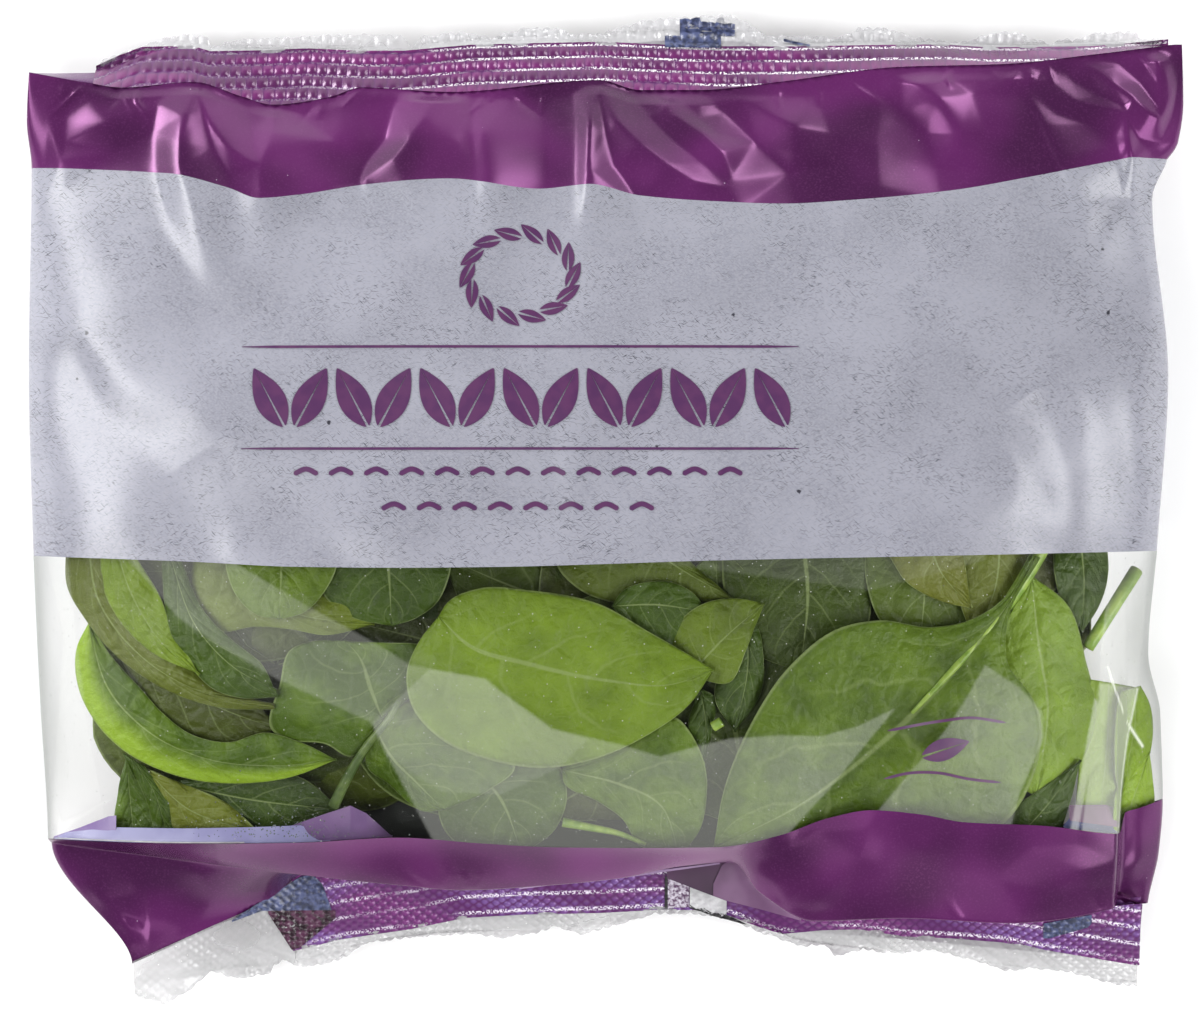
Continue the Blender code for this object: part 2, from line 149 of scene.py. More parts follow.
# Creases: chains of photo pixels with a height in mm. The film lies in flat facets between them,
# so a facet that rises to the right faces the left light and shines, one that falls is dark.
creases = {
    "topBand": (
        ((70, 76, 0), (120, 86, 0), (164, 90, 0.7), (192, 84, 2.1)),
        ((192, 84, 2.1), (182, 112, 3.9), (178, 140, 4.3), (178, 166, 3.9), (198, 228, 3.1),
         (230, 285, 1.7), (260, 331, 0)),
        ((152, 98, 0.7), (150, 130, 0.1), (152, 166, 0), (170, 232, 0), (205, 300, -0.3),
         (260, 331, 0)),
        ((150, 104, 0.8), (103, 118, 1.7), (57, 158, 1.3), (40, 190, 0)),
        ((84, 96, 0), (60, 112, -1), (40, 104, 0)),
        ((60, 140, 0), (110, 150, 0), (120, 200, 0), (110, 290, 0)),
        ((192, 84, 2.1), (204, 113, 3.1), (224, 143, 3.9), (247, 160, 4.3), (261, 164, 4.7)),
        ((200, 108, 2), (212, 146, 1.6), (230, 176, 1.6), (236, 230, 1)),
        ((240, 98, 0.5), (250, 126, 1.8), (252, 146, 2.9)),
        ((272, 104, 2.3), (270, 130, 4.4), (261, 164, 4.7), (261, 200, 3.6), (268, 262, 1.6)),
        ((330, 98, 0.3), (336, 140, 0.5), (330, 186, 0), (346, 250, 0)),
        ((392, 98, -0.8), (384, 137, -1.8), (366, 160, -2), (359, 182, -1.7), (372, 230, 0)),
        ((440, 89, 2.2), (430, 100, 3), (423, 114, 3.4), (408, 138, 3), (394, 156, 2.1),
         (364, 178, -0.5)),
        ((456, 96, 1.6), (456, 140, 1.4), (440, 176, 0.8), (430, 230, 0)),
        ((471, 86, 0.5), (470, 130, 0.4), (474, 172, 0.4), (474, 230, 0)),
        ((484, 84, 1), (483, 130, 2.1), (488, 170, 1.8), (484, 230, 0.8), (480, 300, 0)),
        ((540, 86, -0.3), (546, 130, -1.2), (548, 186, -1.2), (552, 250, 0)),
        ((574, 86, 0), (577, 120, 0), (576, 170, 0), (572, 230, 0)),
        ((588, 82, 1.3), (589, 118, 3.6), (588, 170, 3), (582, 230, 1.4), (576, 300, 0)),
        ((600, 92, 1), (606, 132, 0.8), (614, 166, 0.5), (640, 204, 0.5), (680, 216, 0.5)),
        ((604, 84, 1.3), (617, 118, 3.6), (639, 143, 4.9), (665, 163, 4.9), (692, 181, 4.2),
         (727, 188, 2.1), (740, 210, 0.8)),
        ((634, 92, 0.8), (648, 112, 1.6), (676, 140, 2.1), (704, 162, 2.3)),
        ((656, 94, 1.3), (679, 114, 3.1), (706, 133, 3.8), (722, 150, 3.8), (732, 180, 2)),
        ((676, 92, 0.5), (700, 116, 1.3), (716, 130, 1.3)),
        ((700, 92, 0.8), (716, 100, 0.3), (725, 108, -0.3), (757, 139, -1.8), (791, 171, -2.3),
         (800, 214, -1), (806, 260, 0)),
        ((744, 96, 0.8), (770, 110, 1.8), (795, 123, 2.6), (796, 150, 0.5), (791, 171, -2.3)),
        ((820, 92, 0), (832, 130, 0.3), (836, 164, -0.5), (880, 186, 0.7), (940, 200, 0.4)),
        ((860, 80, 0.3), (883, 88, -0.5), (905, 108, -1.2), (928, 131, -1.6), (934, 146, -1.2)),
        ((904, 72, 1), (924, 82, 2.6), (941, 96, 3.2), (962, 131, 2.3), (961, 150, 1),
         (938, 164, -0.8), (905, 158, -0.5), (878, 144, 0)),
        ((975, 90, 0.7), (988, 130, 0), (984, 170, 0)),
        ((994, 66, 0), (1014, 74, 0.9), (1054, 76, 0.9), (1074, 62, 0)),
        ((1026, 92, 0), (1040, 121, -0.3), (1060, 169, -0.3), (1080, 219, -0.2), (1086, 245, 0)),
        ((1032, 90, 0.4), (1046, 121, 0.8), (1066, 169, 0.8), (1084, 219, 0.5), (1094, 245, 0)),
        ((1040, 86, 0.4), (1082, 98, 1.3), (1129, 110, 2.8)),
        ((1060, 110, 0), (1096, 122, 0), (1118, 132, 0.3), (1122, 158, 0.1), (1126, 196, 0)),
        ((1129, 110, 2.8), (1131, 138, 3.6), (1135, 158, 3), (1140, 196, 0.8)),
        ((1092, 60, 1.8), (1118, 80, 3.2), (1138, 95, 4.2), (1153, 110, 4.4), (1166, 117, 3.2)),
        ((1078, 74, 0.2), (1104, 90, 0.6), (1129, 103, 1.4)),
        ((1124, 56, 0.4), (1146, 78, 0.8), (1160, 99, 1.6), (1166, 117, 3.2)),
        ((1156, 48, 2), (1172, 70, 4), (1179, 92, 4), (1166, 117, 3.2)),
        ((1142, 136, 0.4), (1154, 146, 0.2), (1166, 138, -0.4), (1176, 118, -0.4)),
    ),
    "paper": (
        ((46, 322, 0.2), (73, 320, 0.8), (109, 364, 1.4), (136, 391, 1.5), (201, 410, 1.2),
         (230, 447, 1), (238, 505, 0.9), (240, 556, 0.8)),
        ((52, 345, 0), (80, 370, -0.8), (102, 415, -0.9), (136, 440, -0.9), (182, 490, -0.9),
         (211, 558, -0.6)),
        ((100, 330, 0.5), (160, 350, 0.4), (230, 380, 0.3), (290, 450, 0.2), (300, 540, 0)),
        ((50, 420, 0), (70, 480, 0), (110, 520, 0), (150, 556, 0)),
        ((660, 297, 0.4), (700, 276, 1), (742, 262, 1.4), (780, 276, 1.6), (840, 308, 2.2),
         (900, 352, 2.4), (936, 380, 2.6), (972, 405, 2.8), (1006, 402, 1.4), (1042, 394, 0.2)),
        ((690, 318, 0), (760, 318, -0.5), (812, 352, -0.6), (870, 392, -0.6), (930, 430, -0.2),
         (975, 470, 0), (1010, 512, -0.2), (1062, 534, -1.2)),
        ((1042, 394, 0.2), (1054, 440, -0.7), (1062, 480, -1.3), (1064, 524, -1.4)),
        ((972, 405, 2.8), (994, 436, 2.2), (1014, 462, 1.4), (1030, 488, 0.6)),
        ((1084, 400, 0.6), (1094, 460, 0.4), (1092, 520, 0)),
        ((820, 262, 0.3), (900, 300, 0.3), (980, 350, 0.4), (1040, 360, 0.4)),
        ((1096, 262, 0.2), (1112, 347, 0.4), (1134, 447, 0.4), (1144, 507, 0.2)),
        ((1088, 262, 0), (1104, 347, -0.1), (1126, 447, -0.1), (1137, 507, 0)),
        ((552, 360, 0), (556, 450, 0), (560, 540, 0)),
        ((566, 360, 0.4), (572, 450, 0.8), (576, 540, 0.4)),
        ((610, 360, 0), (616, 450, -0.1), (620, 540, 0)),
        ((380, 330, 0), (400, 420, 0.3), (400, 520, 0.2)),
        ((690, 380, 0), (720, 450, -0.3), (730, 530, -0.2)),
        ((60, 190, 0.2), (62, 250, 0.3), (60, 300, 0.1)),
    ),
    "window": (
        ((240, 556, 1.3), (290, 586, 1.5), (352, 620, 1.6), (420, 648, 1.5), (490, 676, 1.2),
         (540, 700, 0.6)),
        ((211, 558, -0.7), (262, 600, -0.9), (330, 650, -0.9), (400, 692, -0.8), (470, 720, -0.4)),
        ((330, 650, -0.9), (362, 712, -0.8), (396, 772, -0.5), (424, 826, 0)),
        ((420, 720, 0.6), (446, 770, 0.9), (470, 826, 0.4)),
        ((60, 600, 0), (70, 680, 0), (72, 760, 0), (90, 820, 0)),
        ((130, 620, 0.1), (190, 700, 0.2), (240, 780, 0.2), (280, 826, 0)),
        ((400, 590, 0), (500, 600, 0.1), (620, 600, 0.1), (760, 600, 0)),
        ((560, 740, 0.2), (640, 738, 0.4), (740, 744, 0.6), (800, 738, 0.7), (866, 722, 0)),
        ((560, 790, 0), (650, 800, 0), (720, 800, -0.2)),
        ((985, 655, 1.2), (950, 712, 1.7), (908, 772, 1.9), (868, 826, 1.4)),
        ((962, 650, 0.2), (925, 690, -0.7), (880, 745, -1.1), (800, 826, -1.1)),
        ((1040, 660, 0.6), (1030, 740, 0.8), (1000, 820, 0.6)),
        ((1092, 560, 0), (1098, 640, 0), (1092, 720, 0), (1084, 800, 0)),
        ((1100, 560, 0.3), (1107, 640, 0.6), (1101, 720, 0.6), (1093, 800, 0.3)),
        ((900, 590, 0), (960, 600, 0), (1040, 600, 0.2)),
    ),
    "bottomBand": (
        ((48, 846, 0.1), (70, 848, 0.6), (100, 852, 0.4), (141, 858, -0.2), (210, 868, 0.4),
         (300, 876, 0.1)),
        ((142, 858, -0.4), (142, 900, -1.3), (142, 940, -1.3), (142, 962, -0.8)),
        ((137, 862, 0), (137, 900, -0.1), (138, 940, -0.1), (139, 960, 0)),
        ((66, 868, 0.2), (90, 905, 1.3), (112, 932, 1.4), (122, 955, 0.9)),
        ((96, 926, 0.6), (118, 922, -0.2), (134, 926, -1)),
        ((156, 872, -0.2), (160, 915, -0.7), (160, 938, -0.7)),
        ((196, 876, 0.6), (208, 900, 1.1), (196, 924, 1.0)),
        ((250, 878, 0.1), (256, 890, 0.1)),
        ((430, 850, 0.1), (466, 868, 0.6), (460, 886, 0.4)),
        ((380, 846, 0), (420, 870, 0), (440, 884, 0)),
        ((560, 850, 0), (600, 866, 0.1), (620, 876, 0)),
        ((700, 850, 0.1), (730, 856, -0.2), (744, 872, -0.6), (762, 896, -0.4)),
        ((818, 830, 0.2), (790, 850, 0.5), (772, 880, 0.7), (790, 906, 0.3)),
        ((812, 916, 0), (820, 900, 1.4), (836, 884, 1.3), (860, 858, 1), (884, 836, 0.4)),
        ((836, 912, 0), (850, 890, -0.1), (880, 866, 0), (920, 850, 0)),
        ((900, 840, 0), (940, 870, 0.1), (960, 906, 0)),
        ((1028, 918, 0), (1046, 894, 0.9), (1086, 872, 0.9), (1118, 862, 0.4)),
        ((1000, 880, 0), (1030, 850, 0.1), (1080, 846, 0)),
        ((1050, 912, 0), (1074, 896, -0.1), (1112, 890, -0.2)),
        ((1128, 876, 0.1), (1144, 868, 0.8), (1162, 860, 0.8)),
        ((1128, 896, -0.5), (1144, 892, -0.4), (1158, 884, -0.4)),
        ((1138, 812, 0.4), (1142, 836, 0.5), (1138, 856, 0.2)),
    ),
}


def seededCreases(count, xRange, startY, length, lean, rise, width, seed):
    # short creases fanning out from a line: run off it by length, leaning sideways
    draw = np.random.default_rng(seed)
    found = []
    for x in np.sort(draw.uniform(*xRange, count)):
        run = draw.uniform(*length)
        side = draw.normal(0.0, lean) * abs(run)
        y = startY(x)
        bend = draw.normal(0.0, 0.12) * abs(run)
        path = ((x, y), (x + side * 0.5 + bend, y - run * 0.5), (x + side, y - run))
        high = draw.uniform(*rise) * draw.choice((1.0, 1.0, -0.7))
        found.append((path, high, draw.uniform(*width), draw.uniform(*width)))
    return found


def lineAt(index):
    # y over x of one of the bag's lines, for a single x
    return lambda x: float(readCurve(lines[index], np.array([x]))[0])


# small creases: off both seals, across the paper and across the window; the last is the seed
crumples = seededCreases(34, (-118, 122), lineAt(6), (3, 9), 0.5, (0.2, 0.5), (0.9, 2.2), 5)
crumples += seededCreases(12, (-112, 112), lineAt(2), (-9, -4), 0.6, (0.15, 0.35), (1.2, 2.4), 6)
crumples += seededCreases(16, (-110, 108), lambda x: 34.0, (-30, 30), 1.2, (0.1, 0.25), (2, 5), 8)
crumples += seededCreases(8, (-112, 110), lambda x: -36.0, (-22, 22), 1.2, (0.1, 0.2), (2, 4), 9)


def pathDistance(path, x, y):
    # distance from a path, which side of it, and how far along it, from 0 to 1
    path = np.array(path, float)
    lengths = np.hypot(*np.diff(path, axis=0).T)
    best, side, along, done = np.full(x.shape, np.inf), np.ones(x.shape), np.zeros(x.shape), 0.0
    for start, end, length in zip(path[:-1], path[1:], lengths):
        run = (end - start) / length
        dx, dy = x - start[0], y - start[1]
        t = np.clip(dx * run[0] + dy * run[1], 0.0, length)
        apart = np.hypot(dx - t * run[0], dy - t * run[1])
        nearer = apart < best
        best = np.where(nearer, apart, best)
        side = np.where(nearer, run[0] * dy - run[1] * dx, side)
        along = np.where(nearer, (done + t) / lengths.sum(), along)
        done += length
    return best, side, along


def facetHeights(chains, x, y):
    # heights on flat triangles between the chains' points, whose links stay as edges
    spots, links, first = [], [], 0
    for chain in chains:
        spots += [tuple(spot) for spot in chain]
        links += [(first + i, first + i + 1) for i in range(len(chain) - 1)]
        first += len(chain)
    spots = np.array(spots, float)
    flat = fromPhoto(spots[:, :2], level["creases"])
    made = delaunay_2d_cdt([Vector(p) for p in flat], links, [], 0, 0.0001)
    corners = np.array([tuple(p) for p in made[0]])
    heights = np.array([spots[given[0], 2] if given else 0.0 for given in made[3]])
    total = np.zeros(x.shape)
    for triangle in made[2]:
        a, b, c = corners[list(triangle)]
        low, high = np.minimum(np.minimum(a, b), c), np.maximum(np.maximum(a, b), c)
        near = (x >= low[0]) & (x <= high[0]) & (y >= low[1]) & (y <= high[1])
        area = (b[0] - a[0]) * (c[1] - a[1]) - (b[1] - a[1]) * (c[0] - a[0])
        if abs(area) < 1e-6 or not near.any():
            continue
        px, py = x[near] - a[0], y[near] - a[1]
        second = (px * (c[1] - a[1]) - py * (c[0] - a[0])) / area
        third = (py * (b[0] - a[0]) - px * (b[1] - a[1])) / area
        inside = (second >= -1e-6) & (third >= -1e-6) & (second + third <= 1.000001)
        value = heights[list(triangle)] @ np.array([1.0 - second - third, second, third])
        held = total[near]
        held[inside] = value[inside]
        total[near] = held
    return total


def blurred(field, radius):
    # the field averaged along both axes with a bell of the given radius in cells
    reach = int(math.ceil(radius * 3))
    bell = np.exp(-0.5 * (np.arange(-reach, reach + 1) / radius) ** 2)
    bell /= bell.sum()
    for axis in (0, 1):
        padded = np.pad(field, [(reach, reach) if a == axis else (0, 0) for a in (0, 1)], "edge")
        field = sum(w * np.take(padded, np.arange(field.shape[axis]) + i, axis)
                    for i, w in enumerate(bell))
    return field


reliefGrid = {"left": -130.0, "low": -112.0, "width": 260.0, "height": 224.0, "cell": 0.3,
              "round": (1.6, 0.36), "softShare": 0.5, "crisp": (60.0, 72.0, -63.0, -69.0)}


def reliefMap():
    # the facets, rounded at their edges, and the small creases, once on a fine square grid; a
    # small crease falls off as (1 - distance / width)^2 and ends along it as 1 - along^3
    columns = int(reliefGrid["width"] / reliefGrid["cell"])
    rows = int(reliefGrid["height"] / reliefGrid["cell"])
    y, x = np.meshgrid(reliefGrid["low"] + np.arange(rows) * reliefGrid["cell"],
                       reliefGrid["left"] + np.arange(columns) * reliefGrid["cell"], indexing="ij")
    # flat lines outside both folds and along both seals hold the outer facets level
    frameChains = [((10, 60, 0), (10, 300, 0), (10, 560, 0), (10, 840, 0), (60, 980, 0)),
                   ((1196, 30, 0), (1196, 300, 0), (1196, 560, 0), (1196, 840, 0), (1180, 980, 0))]
    seams = []
    for index, lift in ((6, 2), (2, -6)):
        px = np.arange(40, 1180, 60)
        onLine = readCurve(lines[index], (px - photoMiddle[0]) * photoScale)
        py = photoMiddle[1] - onLine / photoScale - lift
        seams.append([(float(a), float(b), 0.0) for a, b in zip(px, py)])
    chains = [chain for part in creases.values() for chain in part] + frameChains + seams
    facets = facetHeights(chains, x, y)
    wide, fine = (blurred(facets, size / reliefGrid["cell"]) for size in reliefGrid["round"])
    crisp = smoothStep(*reliefGrid["crisp"][:2], y) + smoothStep(*reliefGrid["crisp"][2:], y)
    total = wide + (fine - wide) * crisp * (1.0 - reliefGrid["softShare"])
    for path, rise, leftWidth, rightWidth in crumples:
        reach = max(leftWidth, rightWidth)
        low, high = np.min(path, axis=0) - reach, np.max(path, axis=0) + reach
        near = (x > low[0]) & (x < high[0]) & (y > low[1]) & (y < high[1])
        apart, side, along = pathDistance(path, x[near], y[near])
        width = np.where(side > 0, leftWidth, rightWidth)
        across = (1.0 - np.clip(apart / width, 0.0, 1.0)) ** 2
        total[near] += rise * across * smoothStep(0.0, 0.15, along) * (1.0 - along ** 3)
    return total


print("creases")
reliefField = reliefMap()


def foldRise(x, y):
    # the relief map read between its four nearest cells
    rows, columns = reliefField.shape
    across = np.clip((x - reliefGrid["left"]) / reliefGrid["cell"], 0, columns - 1.001)
    up = np.clip((y - reliefGrid["low"]) / reliefGrid["cell"], 0, rows - 1.001)
    i, j = across.astype(int), up.astype(int)
    s, t = across - i, up - j
    return ((reliefField[j, i] * (1 - s) + reliefField[j, i + 1] * s) * (1 - t)
            + (reliefField[j + 1, i] * (1 - s) + reliefField[j + 1, i + 1] * s) * t)


def plan(u, v):
    # seen from above: x between the side folds, y between the two lines next to v
    x = readCurve(leftFold, v) * (1.0 - u) + readCurve(rightFold, v) * u
    below = np.clip(np.floor(v).astype(int), 0, len(lines) - 2)
    onLines = np.array([readCurve(line, x) for line in lines])
    lower = np.take_along_axis(onLines, below[None], 0)[0]
    upper = np.take_along_axis(onLines, below[None] + 1, 0)[0]
    return x, lower + (upper - lower) * (v - below)


def surfaceAt(x, y):
    # u and v of a place on the front, for lines 2 to 7
    onLines = [readCurve(line, x) for line in lines[2:]]
    v = 2.0 + sum(np.clip((y - a) / (b - a), 0.0, 1.0) for a, b in zip(onLines, onLines[1:]))
    left, right = readCurve(leftFold, v), readCurve(rightFold, v)
    return np.clip((x - left) / (right - left), 0.0, 1.0), v


def sealWave(x, v):
    # the slow wave of a seal, growing from its inner line to its cut edge
    far = np.maximum(smoothStep(0.9, 0.0, v), smoothStep(6.1, 7.0, v))
    return far * bag["sealWave"] * np.sin(2.0 * math.pi * x / bag["sealWaveLength"]
                                          + 0.8 * np.floor(v))


def flapDrop(x, v):
    # the turned flap at the lower right: full past flapX between lines 2 and 3, fading both ways
    start, full, fading, end = bag["flapRange"]
    reach = smoothStep(start, full, v) * (1.0 - smoothStep(fading, end, v))
    return bag["flapDrop"] * reach * smoothStep(bag["flapX"] - bag["flapTurn"], bag["flapX"], x)


def frontHeight(u, v, x, y, creased=True):
    # crown over each line, falling to the side folds as (1 - |s|^p)^q, with folds and lumps
    s = np.abs(2.0 * u - 1.0)
    edge = readCurve(edgeHeight, v)
    bulge = (1.0 - s ** bag["profileRound"]) ** bag["profileShoulder"]
    z = edge + (readCurve(crown, v) - edge) * bulge
    body = smoothStep(1.0, 1.35, v) * (1.0 - smoothStep(5.85, 6.0, v))
    inside = 1.0 - smoothStep(0.95, 1.0, s)
    across, along = (math.pi / spacing for spacing in bag["lumpSpacing"])
    rise = bag["lumpRise"] * np.sin(across * x) * np.cos(along * y)
    if creased:
        rise = rise + foldRise(x, y)
    return z + body * inside * rise + sealWave(x, v) - flapDrop(x, v)


def frontSurface(u, v):
    # the front film over its plan, creased
    x, y = plan(u, v)
    return x, y, frontHeight(u, v, x, y)


def backSurface(u, v):
    # flat on the floor in the middle, lifted to the seals and the side folds, straight under
    # the crease that overhangs the bottom seal
    x, y = plan(u, v)
    sealY, windowY = readCurve(lines[1], x), readCurve(lines[3], x)
    straight = sealY + (windowY - sealY) * (v - 1.0) / 2.0
    s = np.abs(2.0 * u - 1.0)
    rim = smoothStep(0.9, 1.0, s)
    y = np.where((v > 1.0) & (v < 3.0), straight * (1.0 - rim) + y * rim, y)
    lift = np.maximum(readCurve(backLift, v), bag["filmLift"])
    fold = readCurve(edgeHeight, v)
    z = lift + (fold - lift) * smoothStep(bag["flatShare"], 1.0, s) - 0.12
    return x, y, z + sealWave(x, v) - flapDrop(x, v)


def frontPlace(x, y, above=0.0, creased=True):
    # height of the front film over a place in plan
    u, v = surfaceAt(x, y)
    return frontHeight(u, v, x, y, creased) + above


# Colours and materials

def srgb(code):
    # an sRGB hex colour as linear values with full alpha
    parts = [int(code[i:i + 2], 16) / 255.0 for i in (1, 3, 5)]
    return tuple(c / 12.92 if c <= 0.04045 else ((c + 0.055) / 1.055) ** 2.4 for c in parts) + (1.0,)


def addNode(tree, kind, inputs=(), out=0, **settings):
    # one node: settings are its own fields, inputs fill its sockets with a value or a link
    made = tree.nodes.new("ShaderNode" + kind)
    for field, value in settings.items():
        setattr(made, field, value)
    for socket, value in dict(inputs).items():
        if isinstance(value, bpy.types.NodeSocket):
            tree.links.new(value, made.inputs[socket])
        else:
            made.inputs[socket].default_value = value
    return made.outputs[out] if len(made.outputs) else made


def newMaterial(name):
    # an empty material and the call that adds a node to it
    material = bpy.data.materials.new(name)
    material.use_nodes = True
    material.node_tree.nodes.clear()
    return material, functools.partial(addNode, material.node_tree)


def inMillimetres(add, size, turn=0.0):
    # Object coordinates scaled so that one unit is the given size in mm, per axis
    place = add("TexCoord", out="Object")
    turned = add("VectorRotate", {"Vector": place, "Angle": turn}, rotation_type="Z_AXIS")
    sizes = size if isinstance(size, tuple) else (size,) * 3
    return add("VectorMath", {0: turned, 1: tuple(1000.0 / s for s in sizes)}, operation="MULTIPLY")


soft = dict(interpolation_type="SMOOTHSTEP")
inkFilm = {"deep": "#3A153B", "body": "#582057", "bloom": "#6C386B", "roughness": 0.23,
           "metallic": 0.2, "sheen": "#E9B0D8"}


def printedFilm():
    # gravure-printed polypropylene: a deep even ink under a satin face, its lit facets go pink
    material, add = newMaterial("printedPolypropylenePurple")
    cloud = add("TexNoise", {"Vector": inMillimetres(add, 34.0), "Scale": 1.0, "Detail": 2.0})
    colour = add("Mix", {0: add("MapRange", {0: cloud, 1: 0.35, 2: 0.65}, **soft),
                         6: srgb(inkFilm["deep"]), 7: srgb(inkFilm["body"])},
                 2, data_type="RGBA")
    grain = add("TexNoise", {"Vector": inMillimetres(add, 0.45), "Scale": 1.0, "Detail": 1.0})
    colour = add("Mix", {0: add("MapRange", {0: grain, 1: 0.45, 2: 0.9, 4: 0.3}, **soft),
                         6: colour, 7: srgb(inkFilm["bloom"])}, 2, data_type="RGBA")
    specks = add("TexVoronoi", {"Vector": inMillimetres(add, 7.0), "Scale": 1.0}, "Distance")
    colour = add("Mix", {0: add("MapRange", {0: specks, 1: 0.026, 2: 0.016, 4: 0.5}),
                         6: colour, 7: srgb("#D9C8DC")}, 2, data_type="RGBA")
    shader = add("BsdfPrincipled", {"Base Color": colour, "Roughness": inkFilm["roughness"],
                                    "Metallic": inkFilm["metallic"], "IOR": 1.5,
                                    "Specular IOR Level": 0.5,
                                    "Specular Tint": srgb(inkFilm["sheen"])})
    add("OutputMaterial", {"Surface": shader})
    return material


# rows: first row and pitch in mm from the print's edge; wornWhiteAndHighlight: colour of the rubbed
# crests along the row lines, worn ink and painted highlight together, which fade in over whiteMarksFrom
# in mm along the seal; spread: half width of a crest as a share of the pitch; paintedValleyShade: colour
# put into the pressed valleys as painted shade
crimp = {
    "ribPitch": 2.4, "ribHeight": 0.55, "diamond": (2.5, 1.9), "paintedValleyShade": "#54245A",
    "top": {"name": "printedPolypropyleneCrimpedTop", "rows": (3.4, 2.75), "base": "#682460",
            "shade": "#4E1C4C", "wornWhiteAndHighlight": "#F4EEF4", "whiteMarksFrom": (-80, -10), "spread": 0.14},
    "bottom": {"name": "printedPolypropyleneCrimpedBottom", "rows": (1.1, 3.7), "base": "#6E326E",
               "shade": "#6E4A8A", "wornWhiteAndHighlight": "#E2D8E8", "whiteMarksFrom": (-80, -40), "spread": 0.17},
}


def crimpedFilm(side):
    # the seal's jaws press ribs and rows into the print and rub their crests down to white; that white
    # also stands as a painted highlight, and the pressed valleys are darkened as painted shade
    look = crimp[side]
    material, add = newMaterial(look["name"])
    seal = add("UVMap", uv_map="film")
    acrossSeal = add("SeparateXYZ", {0: seal}, 1)
    alongSeal = add("SeparateXYZ", {0: seal}, 0)
    cloud = add("TexNoise", {"Vector": inMillimetres(add, (26.0, 5.0, 26.0)), "Scale": 1.0,
                             "Detail": 1.0})
    colour = add("Mix", {0: add("MapRange", {0: cloud, 1: 0.4, 2: 0.62}, **soft),
                         6: srgb(look["base"]), 7: srgb(look["shade"])}, 2, data_type="RGBA")
    first, pitch = look["rows"]
    offset = add("Math", {0: acrossSeal, 1: first / 100.0 - pitch / 200.0}, operation="SUBTRACT")
    phase = add("Math", {0: add("Math", {0: offset, 1: pitch / 100.0}, operation="DIVIDE"), 1: 1.0},
                operation="FLOORED_MODULO")
    apart = add("Math", {0: add("Math", {0: phase, 1: 0.5}, operation="SUBTRACT")},
                operation="ABSOLUTE")
    crest = add("MapRange", {0: apart, 1: look["spread"], 2: 0.04}, **soft)
    broken = add("TexNoise", {"Vector": inMillimetres(add, (0.38, 0.4, 0.8)), "Scale": 1.0,
                              "Detail": 2.0})
    patch = add("TexNoise", {"Vector": inMillimetres(add, (24.0, 5.0, 24.0)), "Scale": 1.0})
    rubbedAndHighlight = add("Math", {0: crest, 1: add("MapRange", {0: broken, 1: 0.48, 2: 0.54}, **soft)},
                 operation="MULTIPLY")
    rubbedAndHighlight = add("Math", {0: rubbedAndHighlight, 1: add("MapRange", {0: patch, 1: 0.36, 2: 0.5}, **soft)},
                 operation="MULTIPLY")
    start, full = look["whiteMarksFrom"]
    whiteMarkFade = add("MapRange", {0: alongSeal, 1: start / 100.0, 2: full / 100.0, 3: 0.1}, **soft)
    rubbedAndHighlight = add("Math", {0: rubbedAndHighlight, 1: whiteMarkFade}, operation="MULTIPLY")
    # darker in the pressed valleys, where the ribs would shade each other: painted shade
    pressed = add("Attribute", out="Fac", attribute_name="press")
    colour = add("Mix", {0: add("MapRange", {0: pressed, 1: 0.05, 2: 0.6}, **soft),
                         6: srgb(crimp["paintedValleyShade"]), 7: colour}, 2, data_type="RGBA")
    # white marks along the row lines: worn ink and painted highlight
    colour = add("Mix", {0: rubbedAndHighlight, 6: colour, 7: srgb(look["wornWhiteAndHighlight"])}, 2, data_type="RGBA")
    shader = add("BsdfPrincipled", {"Base Color": colour, "Roughness": 0.24, "Metallic": 0.12,
                                    "IOR": 1.5, "Specular IOR Level": 0.45})
    add("OutputMaterial", {"Surface": shader})
    return material


paperPrint = {"ground": "#80818C", "light": "#8C8D98", "fibre": "#36373F", "fleck": "#302F37",
              "fibreLength": 1.9, "fibreWidth": 0.15, "fleckSpacing": 10.0, "grain": (0.55, 0.42, 9.0)}


